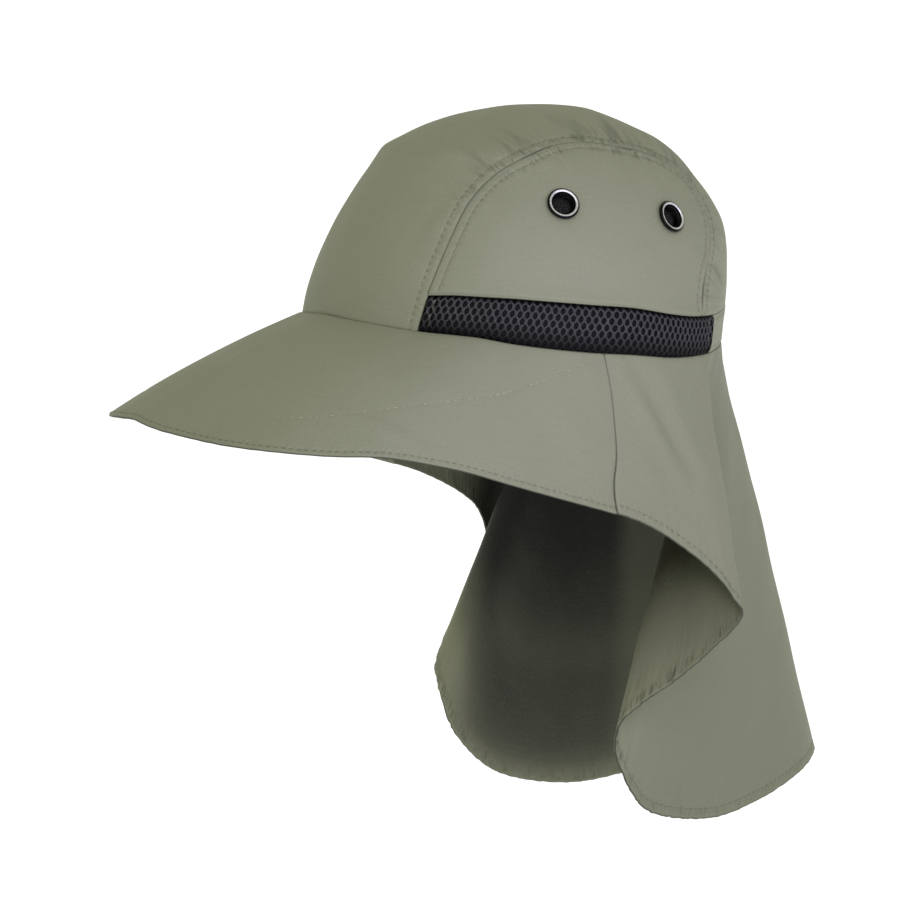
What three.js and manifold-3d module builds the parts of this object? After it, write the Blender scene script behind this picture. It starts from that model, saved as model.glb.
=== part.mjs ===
// Legionnaire cap: a front-to-back crown panel between two side panels with eyelets, a padded
// mesh band over each ear, a cloth band at the back, a wide soft-edged brim and a neck cape
// that folds back on itself behind each ear.
// Millimetres, +Z up. The front of the cap faces -Y and the wearer's left is +X.
// The origin is the middle of the head opening, level with the seam over the ears.

import * as THREE from "three";
import { mergeVertices } from "three/addons/utils/BufferGeometryUtils.js";
import Module from "manifold-3d";

// Crown
const CROWN_LENGTH = 197;
const CROWN_WIDTH = 169;
const CROWN_HEIGHT = 104.5;
const FRONT_RISE = 14.5;
const CROWN_CLOTH = 1.2;
const OVAL_POWER = 2.1;

// Bands round the head opening
const BAND_HEIGHT = 20.8;
const MESH_PADDING = 3.2;
const MESH_BULGE = 1.7;
const REAR_BAND_CLOTH = 1.6;
const REAR_BAND_TURN = 131.5;

// Brim and neck cape
const BRIM_LENGTH = 92;
const BRIM_SPREAD = 50;
const BRIM_DROP = 69;
const BRIM_THICKNESS = 1.6;
const CAPE_LENGTH = 208;
const CAPE_FLARE = 68;
const CAPE_CLOTH = 1.2;
const SKIRT_SWELL = 5;
const EAR_SEAM_SWAY = 2.4;

// Eyelets and the mesh behind them
const EYELET_WIDTH = 14.6;
const EYELET_BORE = 10.6;
const EYELET_RISE = 1.5;
const EYELET_WALL = 0.8;
const EYELET_SEAT = 2.7;
const MESH_DISC_THICKNESS = 0.8;

// Clearance between neighbouring pieces
const GAP = 0.3;

// Numbers of facets
const CROWN_COLUMNS = 48;
const CROWN_ROWS = 10;
const BAND_COLUMNS = 22;
const BAND_ROWS = 5;
const REAR_BAND_COLUMNS = 15;
const REAR_BAND_ROWS = 2;
const SIDE_SPACE_STEPS = 24;
const REAR_SPACE_STEPS = 40;
const BRIM_COLUMNS = 36;
const BRIM_ROWS = 5;
const CAPE_COLUMNS = 92;
const CAPE_ROWS = 8;
const SEAM_STEPS = 36;
const EYELET_SIDES = 22;

// Degrees in a full turn, and the step over which a slope of the crown is measured
const FULL_TURN = 360;
const SLOPE_STEP = 0.5;

// How often a band's column is put back on its slanted front end, and how often the search for
// that end halves its range
const SLANT_PASSES = 4;
const SEAM_HALVINGS = 30;

// Turns that the front end of a mesh band lies between, and about where it is
const BAND_END = { low: 5, about: 40, high: 90 };

// The turns between which the bands' space is cut out of a side panel and of the crown panel,
// and how far it reaches past the cloth on either side, as a share of the cloth's thickness
const SIDE_SPACE = { from: 30, to: 150 };
const REAR_SPACE = { from: 60, to: 300 };
const SPACE_REACH = 3;

// How near the middle of the crown the cuts for the side panels come, as a share of its width
const CUT_NEAR = 0.02;

// How full the mesh bands' section is, and how thick their two hems are as a share of the
// padding inside the crown
const BULGE_POWER = 0.6;
const HEM_SHARE = 0.2;

// The shoulder of an eyelet's rim: how far in and how far up, as shares of its rise
const SHOULDER_IN = 0.2;
const SHOULDER_UP = 0.65;

// The crown's level sections, from below the opening to the top. A level is an angle whose sine
// is the share of the crown's height. Centre and length are shares of half the crown's length,
// and width is a share of half its width.
const CROWN_SECTIONS = [
  { level: -6, centre: -0.04, length: 0.995, width: 0.995 },
  { level: 0, centre: -0.025, length: 1, width: 1 },
  { level: 15, centre: 0.025, length: 0.98, width: 0.98 },
  { level: 30, centre: 0.07, length: 0.91, width: 0.91 },
  { level: 45, centre: 0.064, length: 0.762, width: 0.775 },
  { level: 57, centre: 0.04, length: 0.625, width: 0.635 },
  { level: 70, centre: 0.055, length: 0.395, width: 0.405 },
  { level: 80, centre: 0.075, length: 0.21, width: 0.212 },
  { level: 90, centre: 0.08, length: 0, width: 0 },
];

// The seam round the opening, as a share of the rise at the front. A turn is the angle in
// degrees from the middle of the front towards the wearer's left.
const BASE_LINE = [
  { turn: 0, rise: 1 },
  { turn: 20, rise: 0.87 },
  { turn: 37, rise: 0.7 },
  { turn: 54, rise: 0.54 },
  { turn: 65, rise: 0.32 },
  { turn: 85, rise: 0 },
  { turn: 96, rise: -0.13 },
  { turn: 110, rise: -0.33 },
  { turn: 122, rise: -0.39 },
  { turn: 134, rise: -0.38 },
  { turn: 152, rise: -0.2 },
  { turn: 180, rise: -0.07 },
];

// The height of the bands above that seam, as a share of the band height.
const BAND_LINE = [
  { turn: 36, height: 0.74 },
  { turn: 45, height: 0.81 },
  { turn: 55, height: 0.85 },
  { turn: 65, height: 0.94 },
  { turn: 88, height: 1 },
  { turn: 110, height: 0.92 },
  { turn: 122, height: 0.86 },
  { turn: 180, height: 0.83 },
];

// The seam of a side panel seen from the side, from the front of the band over the top and down
// to the back. Back is a share of half the crown's length, up is a share of its height.
const SIDE_SEAM = [
  { back: -0.83, up: 0.03 },
  { back: -0.81, up: 0.1 },
  { back: -0.758, up: 0.25 },
  { back: -0.7, up: 0.375 },
  { back: -0.6, up: 0.54 },
  { back: -0.51, up: 0.65 },
  { back: -0.39, up: 0.745 },
  { back: -0.26, up: 0.805 },
  { back: -0.1, up: 0.85 },
  { back: 0.06, up: 0.86 },
  { back: 0.23, up: 0.838 },
  { back: 0.37, up: 0.808 },
  { back: 0.5, up: 0.76 },
  { back: 0.6, up: 0.695 },
  { back: 0.66, up: 0.6 },
  { back: 0.67, up: 0.5 },
  { back: 0.64, up: 0.39 },
  { back: 0.58, up: 0.27 },
  { back: 0.56, up: 0.15 },
  { back: 0.56, up: 0.05 },
];

// The edge of the brim, from the middle of the front to the seam over the ear. Each row leaves
// the crown at its turn. Out is a share of the brim's spread, ahead a share of its length and
// down a share of its drop at the ear.
const BRIM_EDGE = [
  { turn: 0, out: 0, ahead: 1.03, down: 0.592 },
  { turn: 9, out: 0.07, ahead: 1.02, down: 0.618 },
  { turn: 18, out: 0.17, ahead: 0.975, down: 0.64 },
  { turn: 27, out: 0.31, ahead: 0.92, down: 0.655 },
  { turn: 36, out: 0.4, ahead: 0.85, down: 0.665 },
  { turn: 45, out: 0.43, ahead: 0.73, down: 0.672 },
  { turn: 55, out: 0.41, ahead: 0.585, down: 0.68 },
  { turn: 64, out: 0.37, ahead: 0.435, down: 0.722 },
  { turn: 72, out: 0.36, ahead: 0.29, down: 0.808 },
  { turn: 80, out: 0.33, ahead: 0.13, down: 0.905 },
  { turn: 88, out: 0.31, ahead: -0.055, down: 1.02 },
];

// The hem of the cape, from behind the ear to the middle of the back. It turns in at the first
// fold, forward under itself, and back again at the second fold. Out and back are shares of the
// flare, down is a share of the cape's length.
const CAPE_HEM = [
  { turn: 96, out: 0.23, back: 0.06, down: 0.362 },
  { turn: 104, out: 0.26, back: 0.03, down: 0.388 },
  { turn: 112, out: 0.35, back: 0, down: 0.422 },
  { turn: 120, out: 0.5, back: -0.06, down: 0.465 },
  { turn: 125, out: 0.61, back: -0.11, down: 0.5 },
  { turn: 128, out: 0.66, back: -0.115, down: 0.524 },
  { turn: 129.5, out: 0.65, back: -0.145, down: 0.547 },
  { turn: 131, out: 0.58, back: -0.27, down: 0.595 },
  { turn: 132.5, out: 0.45, back: -0.5, down: 0.67 },
  { turn: 134, out: 0.29, back: -0.82, down: 0.755 },
  { turn: 135.5, out: 0.25, back: -0.9, down: 0.825 },
  { turn: 137, out: 0.26, back: -0.82, down: 0.913 },
  { turn: 140, out: 0.2, back: -0.6, down: 0.992 },
  { turn: 146, out: 0.19, back: -0.16, down: 1.03 },
  { turn: 154, out: 0.2, back: 0.22, down: 1.015 },
  { turn: 163, out: 0.2, back: 0.57, down: 0.982 },
  { turn: 172, out: 0.12, back: 0.825, down: 0.955 },
  { turn: 180, out: 0, back: 0.905, down: 0.948 },
];

// Where brim and cape swell out halfway between the seam and the edge, as shares of the swell.
const SWELLS = [
  { turn: 0, out: 0, back: 0, up: 0.5 },
  { turn: 30, out: 0.05, back: 0, up: 0.5 },
  { turn: 55, out: 0.1, back: 0, up: 0.25 },
  { turn: 88, out: 0, back: 0, up: 0 },
  { turn: 137, out: 0, back: 0, up: 0 },
  { turn: 147, out: 0.25, back: 0.1, up: 0 },
  { turn: 160, out: 0.25, back: 0.3, up: 0 },
  { turn: 180, out: 0, back: 0.4, up: 0 },
];

// How the cloth hangs differently on the wearer's right: out and ahead are shares of the
// cape's flare, and down is a share of its length.
const RIGHT_SLACK = [
  { turn: 0, out: 0, ahead: 0, down: 0 },
  { turn: 10, out: 0, ahead: 0.035, down: -0.01 },
  { turn: 25, out: 0, ahead: 0.045, down: -0.015 },
  { turn: 45, out: 0, ahead: 0.01, down: -0.01 },
  { turn: 70, out: 0, ahead: 0, down: -0.003 },
  { turn: 96, out: 0, ahead: -0.01, down: -0.008 },
  { turn: 112, out: 0, ahead: -0.045, down: -0.01 },
  { turn: 122, out: 0, ahead: -0.045, down: -0.005 },
  { turn: 128.5, out: 0, ahead: -0.045, down: 0 },
  { turn: 132.5, out: 0.065, ahead: 0.06, down: 0 },
  { turn: 135.5, out: 0.01, ahead: 0.01, down: 0.002 },
  { turn: 141, out: 0, ahead: 0.015, down: 0.017 },
  { turn: 150, out: 0, ahead: 0.01, down: 0.014 },
  { turn: 165, out: 0, ahead: 0, down: -0.003 },
  { turn: 180, out: 0, ahead: 0, down: 0 },
];

// Where the two eyelets sit on each side panel.
const EYELETS = [
  { name: "front", turn: 74.5, level: 38 },
  { name: "rear", turn: 110, level: 33 },
];

const manifold = await Module();
manifold.setup();

const CLOTH_COLOUR = { color: 0x8a8d78, roughness: 0.8, metalness: 0 };
const MESH_COLOUR = { color: 0x2c2b30, roughness: 0.7, metalness: 0 };
const RING_COLOUR = { color: 0x1c1c1e, roughness: 0.35, metalness: 0.6 };

const degrees = (radians) => THREE.MathUtils.radToDeg(radians);
const radians = (turn) => THREE.MathUtils.degToRad(turn);

// Reads one column of a table at a place between its rows, along a smooth curve.
function readColumn(rows, key, column, at) {
  const last = rows.length - 1;
  let i = 0;
  while (i < last - 1 && at > rows[i + 1][key]) i += 1;
  const slope = (k) => {
    const low = rows[Math.max(k - 1, 0)];
    const high = rows[Math.min(k + 1, last)];
    return (high[column] - low[column]) / (high[key] - low[key]);
  };
  const width = rows[i + 1][key] - rows[i][key];
  const t = (at - rows[i][key]) / width;
  const rise = 3 * t * t - 2 * t * t * t;
  const leave = t * (1 - t) * (1 - t) * width * slope(i);
  const arrive = t * t * (t - 1) * width * slope(i + 1);
  return rows[i][column] * (1 - rise) + rows[i + 1][column] * rise + leave + arrive;
}

// A turn folded to 0..180, so that one table serves the left and the right side.
function foldTurn(turn) {
  const whole = THREE.MathUtils.euclideanModulo(turn, FULL_TURN);
  return Math.min(whole, FULL_TURN - whole);
}

function baseHeight(turn) {
  return FRONT_RISE * readColumn(BASE_LINE, "turn", "rise", foldTurn(turn));
}

function bandTop(turn) {
  const height = readColumn(BAND_LINE, "turn", "height", Math.max(foldTurn(turn), BAND_LINE[0].turn));
  return baseHeight(turn) + BAND_HEIGHT * height;
}

function levelOf(height) {
  return degrees(Math.asin(THREE.MathUtils.clamp(height / CROWN_HEIGHT, -1, 1)));
}

// A point of the crown's outer face.
function crownPoint(turn, level) {
  const read = (column) => readColumn(CROWN_SECTIONS, "level", column, level);
  const across = Math.sin(radians(turn));
  const along = -Math.cos(radians(turn));
  const round = (share) => Math.sign(share) * Math.abs(share) ** (2 / OVAL_POWER);
  return new THREE.Vector3(
    (CROWN_WIDTH / 2) * read("width") * round(across),
    (CROWN_LENGTH / 2) * (read("centre") + read("length") * round(along)),
    CROWN_HEIGHT * Math.sin(radians(level)),
  );
}

function crownPointAtHeight(turn, height) {
  return crownPoint(turn, levelOf(height));
}

// The outward direction of the crown's face at a point of it.
function crownNormal(turn, level) {
  const aside = crownPoint(turn + SLOPE_STEP, level).sub(crownPoint(turn - SLOPE_STEP, level));
  const upward = crownPoint(turn, level + SLOPE_STEP).sub(crownPoint(turn, level - SLOPE_STEP));
  return aside.cross(upward).normalize();
}

// Closes two matching grids of points, an outer and an inner face, into one solid. Columns run
// along each row. A looped grid's columns close on themselves, and a tipped grid's last row is
// a single point.
function solidBetween(outer, inner, { looped = false, tipped = false } = {}) {
  const columns = outer[0].length;
  const rows = outer.length;
  const corners = [outer, inner].flatMap((face) => face.flatMap((row) => row));
  const positions = corners.flatMap((corner) => [corner.x, corner.y, corner.z]);
  const at = (face, row, column) => (face * rows + row) * columns + (column % columns);
  const index = [];
  const quad = (a, b, c, d) => index.push(a, b, c, a, c, d);
  const columnSteps = looped ? columns : columns - 1;
  for (let row = 0; row < rows - 1; row += 1) {
    const toTip = tipped && row === rows - 2;
    for (let column = 0; column < columnSteps; column += 1) {
      const next = column + 1;
      if (toTip) {
        index.push(at(0, row, column), at(0, row, next), at(0, row + 1, 0));
        index.push(at(1, row, next), at(1, row, column), at(1, row + 1, 0));
      } else {
        quad(at(0, row, column), at(0, row, next), at(0, row + 1, next), at(0, row + 1, column));
        quad(at(1, row, next), at(1, row, column), at(1, row + 1, column), at(1, row + 1, next));
      }
    }
  }
  for (let column = 0; column < columnSteps; column += 1) {
    const next = column + 1;
    quad(at(0, 0, next), at(0, 0, column), at(1, 0, column), at(1, 0, next));
    if (!tipped) {
      quad(at(0, rows - 1, column), at(0, rows - 1, next), at(1, rows - 1, next), at(1, rows - 1, column));
    }
  }
  if (!looped) {
    const end = columns - 1;
    for (let row = 0; row < rows - 1; row += 1) {
      quad(at(0, row, 0), at(0, row + 1, 0), at(1, row + 1, 0), at(1, row, 0));
      quad(at(0, row + 1, end), at(0, row, end), at(1, row, end), at(1, row + 1, end));
    }
  }
  const geometry = new THREE.BufferGeometry();
  geometry.setAttribute("position", new THREE.Float32BufferAttribute(positions, 3));
  geometry.setIndex(index);
  return geometry;
}

// A sheet of cloth: the grid is its outer face, and the inner face lies one thickness behind.
function clothSolid(grid, thickness) {
  const rows = grid.length;
  const columns = grid[0].length;
  const inner = grid.map((row, i) =>
    row.map((corner, j) => {
      const left = grid[i][Math.max(j - 1, 0)];
      const right = grid[i][Math.min(j + 1, columns - 1)];
      const below = grid[Math.max(i - 1, 0)][j];
      const above = grid[Math.min(i + 1, rows - 1)][j];
      const aside = right.clone().sub(left);
      const upward = above.clone().sub(below);
      const normal = aside.cross(upward).normalize();
      return corner.clone().addScaledVector(normal, -thickness);
    }),
  );
  return solidBetween(grid, inner);
}

// Booleans
function toSolid(geometry) {
  const bare = geometry.clone();
  bare.deleteAttribute("normal");
  bare.deleteAttribute("uv");
  const merged = mergeVertices(bare, 1e-5);
  const mesh = new manifold.Mesh({
    numProp: 3,
    vertProperties: Float32Array.from(merged.attributes.position.array),
    triVerts: Uint32Array.from(merged.index.array),
  });
  return new manifold.Manifold(mesh);
}

function toGeometry(solid) {
  const mesh = solid.getMesh();
  const geometry = new THREE.BufferGeometry();
  geometry.setAttribute("position", new THREE.Float32BufferAttribute(mesh.vertProperties, 3));
  geometry.setIndex(Array.from(mesh.triVerts));
  return geometry;
}

// Crown shell, before it is cut into panels
function crownShell() {
  const outer = [];
  const inner = [];
  for (let row = 0; row <= CROWN_ROWS; row += 1) {
    const outerRow = [];
    const innerRow = [];
    for (let column = 0; column < CROWN_COLUMNS; column += 1) {
      const turn = (FULL_TURN * column) / CROWN_COLUMNS;
      const level = THREE.MathUtils.lerp(levelOf(baseHeight(turn)), 90, row / CROWN_ROWS);
      const corner = crownPoint(turn, level);
      const normal = row === CROWN_ROWS ? new THREE.Vector3(0, 0, 1) : crownNormal(turn, level);
      outerRow.push(corner);
      innerRow.push(corner.clone().addScaledVector(normal, -CROWN_CLOTH));
    }
    outer.push(outerRow);
    inner.push(innerRow);
  }
  return toSolid(solidBetween(outer, inner, { looped: true, tipped: true }));
}

// The outline of the side panel's seam in side view, moved outwards by grow.
function seamOutline(grow) {
  const points = SIDE_SEAM.map(
    (row) => new THREE.Vector2((row.back * CROWN_LENGTH) / 2, row.up * CROWN_HEIGHT),
  );
  const curve = new THREE.SplineCurve(points);
  const outline = [];
  for (let step = 0; step <= SEAM_STEPS; step += 1) {
    const share = step / SEAM_STEPS;
    const tangent = curve.getTangent(share);
    const outward = new THREE.Vector2(-tangent.y, tangent.x);
    outline.push(curve.getPoint(share).addScaledVector(outward, grow));
  }
  return outline;
}

// A block that holds all of one side of the crown within the seam, down past the opening.
function sideBlock(side, grow) {
  const outline = seamOutline(grow);
  const below = -CROWN_HEIGHT;
  const shape = new THREE.Shape([
    ...outline,
    new THREE.Vector2(outline[outline.length - 1].x, below),
    new THREE.Vector2(outline[0].x, below),
  ]);
  const near = CROWN_WIDTH * CUT_NEAR;
  const geometry = new THREE.ExtrudeGeometry(shape, { depth: CROWN_WIDTH, bevelEnabled: false });
  const turned = new THREE.Matrix4().makeBasis(
    new THREE.Vector3(0, 1, 0),
    new THREE.Vector3(0, 0, 1),
    new THREE.Vector3(1, 0, 0),
  );
  geometry.applyMatrix4(turned);
  geometry.translate(side > 0 ? near : -near - CROWN_WIDTH, 0, 0);
  return toSolid(geometry);
}

// The space of the bands under the panels, between two turns. It straddles the crown's wall
// and reaches past the wall's lower edge.
function bandSpace(fromTurn, toTurn, steps) {
  const reach = SPACE_REACH * CROWN_CLOTH;
  const layer = (stand) =>
    [0, 1].map((row) => {
      const corners = [];
      for (let step = 0; step <= steps; step += 1) {
        const turn = THREE.MathUtils.lerp(fromTurn, toTurn, step / steps);
        const height = row ? bandTop(turn) : baseHeight(turn);
        const outward = crownNormal(turn, levelOf(height)).setZ(0).normalize();
        const corner = crownPointAtHeight(turn, height).addScaledVector(outward, stand);
        if (!row) corner.z -= reach;
        corners.push(corner);
      }
      return corners;
    });
  return toSolid(solidBetween(layer(reach), layer(-reach)));
}

// The turn at which the front part of the side seam crosses a height.
function seamTurn(height) {
  const outline = seamOutline(0);
  let i = 0;
  while (i < outline.length - 2 && outline[i + 1].y < height) i += 1;
  const share = (height - outline[i].y) / (outline[i + 1].y - outline[i].y);
  const target = THREE.MathUtils.lerp(outline[i].x, outline[i + 1].x, share);
  let low = BAND_END.low;
  let high = BAND_END.high;
  for (let halving = 0; halving < SEAM_HALVINGS; halving += 1) {
    const middle = (low + high) / 2;
    if (crownPointAtHeight(middle, height).y < target) low = middle;
    else high = middle;
  }
  return (low + high) / 2;
}

// How many degrees of turn a length spans on the crown's edge.
function turnFor(length, turn) {
  const pace = crownPoint(turn + SLOPE_STEP, 0).distanceTo(crownPoint(turn - SLOPE_STEP, 0));
  return (2 * SLOPE_STEP * length) / pace;
}

// A strip round the opening between the base seam and the panels above. Its faces stand off
// the crown's face by outward and inward, which may change up the strip. The strip's bottom
// corners lie right above the seam.
function bandStrip(frontTurn, backTurn, { columns, rows, outward, inward }) {
  const outer = [];
  const inner = [];
  for (let row = 0; row <= rows; row += 1) {
    const up = row / rows;
    const outerRow = [];
    const innerRow = [];
    for (let column = 0; column <= columns; column += 1) {
      const share = column / columns;
      let turn = THREE.MathUtils.lerp(frontTurn(0), backTurn, share);
      let height = 0;
      for (let pass = 0; pass < SLANT_PASSES; pass += 1) {
        height = THREE.MathUtils.lerp(baseHeight(turn), bandTop(turn) - GAP, up);
        turn = THREE.MathUtils.lerp(frontTurn(height), backTurn, share);
      }
      const corner = crownPointAtHeight(turn, height);
      const normal = crownNormal(turn, levelOf(height));
      outerRow.push(corner.clone().addScaledVector(normal, outward(up)));
      innerRow.push(corner.clone().addScaledVector(normal, -inward(up)));
    }
    outer.push(outerRow);
    inner.push(innerRow);
  }
  return solidBetween(outer, inner);
}

function meshBand() {
  const start = (height) => seamTurn(height) + turnFor(GAP, BAND_END.about);
  const swell = (up) => Math.sin(Math.PI * up) ** BULGE_POWER;
  return bandStrip(start, REAR_BAND_TURN, {
    columns: BAND_COLUMNS,
    rows: BAND_ROWS,
    outward: (up) => MESH_BULGE * swell(up),
    inward: (up) => (MESH_PADDING - MESH_BULGE) * (HEM_SHARE + (1 - HEM_SHARE) * swell(up)) + CROWN_CLOTH / 2,
  });
}

function rearBand() {
  const start = REAR_BAND_TURN + turnFor(GAP, REAR_BAND_TURN);
  return bandStrip(() => start, FULL_TURN - start, {
    columns: REAR_BAND_COLUMNS,
    rows: REAR_BAND_ROWS,
    outward: () => 0,
    inward: () => REAR_BAND_CLOTH,
  });
}

// The brim and the cape are one skirt, worked out along one table of stations and cut at the
// ear. Each station has a point on the crown's seam and a point on the edge.
const SKIRT = [
  ...BRIM_EDGE.map((row) => ({
    turn: row.turn,
    x: row.out * BRIM_SPREAD,
    y: -row.ahead * BRIM_LENGTH,
    z: -row.down * BRIM_DROP,
  })),
  ...CAPE_HEM.map((row) => ({
    turn: row.turn,
    x: row.out * CAPE_FLARE,
    y: row.back * CAPE_FLARE,
    z: -row.down * CAPE_LENGTH,
  })),
].map((row, station) => {
  const root = crownPointAtHeight(row.turn, baseHeight(row.turn));
  return {
    station,
    turn: row.turn,
    x: root.x + row.x,
    y: root.y + row.y,
    z: root.z + row.z,
  };
});
const EAR_STATION = BRIM_EDGE.length - 1;
const BACK_STATION = SKIRT.length - 1;

// A point of the skirt: a station along it, and down from the crown's seam (0) to the edge (1).
// Stations past the middle of the back, or below 0, lie on the wearer's right.
function skirtPoint(station, down) {
  const beyond = station > BACK_STATION;
  const near = beyond ? 2 * BACK_STATION - station : Math.abs(station);
  const right = beyond || station < 0;
  const read = (column) => readColumn(SKIRT, "station", column, near);
  const turn = read("turn");
  const root = crownPointAtHeight(turn, baseHeight(turn) - GAP);
  const edge = new THREE.Vector3(read("x"), read("y"), read("z"));
  if (right) {
    const slack = (column) => readColumn(RIGHT_SLACK, "turn", column, turn);
    edge.x += slack("out") * CAPE_FLARE;
    edge.y -= slack("ahead") * CAPE_FLARE;
    edge.z -= slack("down") * CAPE_LENGTH;
  }
  const swell = (column) => readColumn(SWELLS, "turn", column, turn) * SKIRT_SWELL;
  const stand = new THREE.Vector3(swell("out"), swell("back"), swell("up"));
  const corner = root.lerp(edge, down).addScaledVector(stand, Math.sin(Math.PI * down));
  if (right) corner.x *= -1;
  return corner;
}

// The ear seam sways forwards and back on its way down: the step along the stations there.
const EAR_PACE = skirtPoint(EAR_STATION - 0.5, 0).distanceTo(skirtPoint(EAR_STATION + 0.5, 0));

function earSway(down) {
  return (-EAR_SEAM_SWAY / EAR_PACE) * Math.sin(2 * Math.PI * down);
}

// A sheet of the skirt between two stations. Each end that is a seam over an ear sways with it:
// fromSide and toSide say on which side that ear is.
function skirtSheet({ from, fromSide, to, toSide, columns, rows, thickness }) {
  const grid = [];
  for (let row = 0; row <= rows; row += 1) {
    const corners = [];
    const down = 1 - row / rows;
    const start = from + fromSide * earSway(down);
    const end = to + toSide * earSway(down);
    for (let column = 0; column <= columns; column += 1) {
      const station = THREE.MathUtils.lerp(start, end, column / columns);
      corners.push(skirtPoint(station, down));
    }
    grid.push(corners);
  }
  return clothSolid(grid, thickness);
}

// Half the gap at the ear seam, as a step along the stations.
const EAR_STEP = GAP / EAR_PACE;

function brim() {
  const end = EAR_STATION - EAR_STEP;
  return skirtSheet({
    from: -end,
    fromSide: -1,
    to: end,
    toSide: 1,
    columns: BRIM_COLUMNS,
    rows: BRIM_ROWS,
    thickness: BRIM_THICKNESS,
  });
}

function neckCape() {
  const start = EAR_STATION + EAR_STEP;
  return skirtSheet({
    from: start,
    fromSide: 1,
    to: 2 * BACK_STATION - start,
    toSide: -1,
    columns: CAPE_COLUMNS,
    rows: CAPE_ROWS,
    thickness: CAPE_CLOTH,
  });
}

// The frame of an eyelet: Z along the crown's outward direction, at the crown's outer face.
function eyeletFrame(eyelet, side) {
  const place = crownPoint(eyelet.turn, eyelet.level);
  const outward = crownNormal(eyelet.turn, eyelet.level);
  place.x *= side;
  outward.x *= side;
  const turned = new THREE.Quaternion().setFromUnitVectors(new THREE.Vector3(0, 0, 1), outward);
  return new THREE.Matrix4().compose(place, turned, new THREE.Vector3(1, 1, 1));
}

// A rolled ring in a C section: a domed flange outside, a short tube, and a flat one inside.
// The profile runs from the axis side, and Y is the ring's axis.
function eyeletRing() {
  const bore = EYELET_BORE / 2;
  const flange = EYELET_WIDTH / 2;
  const tube = bore + EYELET_WALL;
  const outside = GAP;
  const inside = outside - EYELET_SEAT;
  const crest = (bore + flange) / 2;
  const profile = [
    [bore, inside - EYELET_WALL],
    [flange, inside - EYELET_WALL],
    [flange, inside],
    [tube, inside],
    [tube, outside],
    [flange, outside],
    [flange - SHOULDER_IN * EYELET_RISE, outside + SHOULDER_UP * EYELET_RISE],
    [crest, outside + EYELET_RISE],
    [bore + SHOULDER_IN * EYELET_RISE, outside + SHOULDER_UP * EYELET_RISE],
    [bore, outside],
    [bore, inside - EYELET_WALL],
  ];
  const points = profile.map(([x, y]) => new THREE.Vector2(x, y));
  const geometry = new THREE.LatheGeometry(points, EYELET_SIDES);
  geometry.rotateX(Math.PI / 2);
  return geometry;
}

function meshDisc() {
  const radius = EYELET_WIDTH / 2;
  const geometry = new THREE.CylinderGeometry(radius, radius, MESH_DISC_THICKNESS, EYELET_SIDES);
  geometry.rotateX(Math.PI / 2);
  const underRing = GAP - EYELET_SEAT - EYELET_WALL - GAP;
  geometry.translate(0, 0, underRing - MESH_DISC_THICKNESS / 2);
  return geometry;
}

function eyeletHole(eyelet, side) {
  const radius = EYELET_BORE / 2 + EYELET_WALL + GAP;
  const geometry = new THREE.CylinderGeometry(radius, radius, EYELET_WIDTH, EYELET_SIDES);
  geometry.rotateX(Math.PI / 2);
  geometry.applyMatrix4(eyeletFrame(eyelet, side));
  return toSolid(geometry);
}

// Mirrors a left piece to the right and turns its faces back outwards.
function mirrored(geometry) {
  const other = geometry.clone();
  other.scale(-1, 1, 1);
  const index = other.index.array;
  for (let i = 0; i < index.length; i += 3) {
    [index[i + 1], index[i + 2]] = [index[i + 2], index[i + 1]];
  }
  return other;
}

const cap = new THREE.Group();

function addPiece(name, geometry, finish) {
  const piece = new THREE.Mesh(geometry, new THREE.MeshStandardMaterial(finish));
  piece.name = name;
  cap.add(piece);
  return piece;
}

// Crown panels
const shell = crownShell();
const leftSpace = bandSpace(SIDE_SPACE.from, SIDE_SPACE.to, SIDE_SPACE_STEPS);
const rightSpace = bandSpace(FULL_TURN - SIDE_SPACE.to, FULL_TURN - SIDE_SPACE.from, SIDE_SPACE_STEPS);
const centre = shell
  .subtract(sideBlock(1, GAP))
  .subtract(sideBlock(-1, GAP))
  .subtract(bandSpace(REAR_SPACE.from, REAR_SPACE.to, REAR_SPACE_STEPS));
addPiece("crown_panel", toGeometry(centre), CLOTH_COLOUR);

for (const side of [1, -1]) {
  const sideName = side > 0 ? "left" : "right";
  let panel = shell.intersect(sideBlock(side, 0)).subtract(side > 0 ? leftSpace : rightSpace);
  for (const eyelet of EYELETS) {
    panel = panel.subtract(eyeletHole(eyelet, side));
  }
  addPiece(`side_panel_${sideName}`, toGeometry(panel), CLOTH_COLOUR);
  for (const eyelet of EYELETS) {
    const placed = eyeletFrame(eyelet, side);
    const ring = addPiece(`eyelet_${sideName}_${eyelet.name}`, eyeletRing(), RING_COLOUR);
    ring.applyMatrix4(placed);
    const disc = addPiece(`eyelet_mesh_${sideName}_${eyelet.name}`, meshDisc(), MESH_COLOUR);
    disc.applyMatrix4(placed);
  }
}

// Bands round the opening
const leftMesh = meshBand();
addPiece("mesh_band_left", leftMesh, MESH_COLOUR);
addPiece("mesh_band_right", mirrored(leftMesh), MESH_COLOUR);
addPiece("rear_band", rearBand(), CLOTH_COLOUR);

// Brim and cape
addPiece("brim", brim(), CLOTH_COLOUR);
addPiece("neck_cape", neckCape(), CLOTH_COLOUR);

export default cap;
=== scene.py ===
import math

import bpy
import numpy as np
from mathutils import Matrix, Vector
from mathutils.bvhtree import BVHTree


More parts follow.
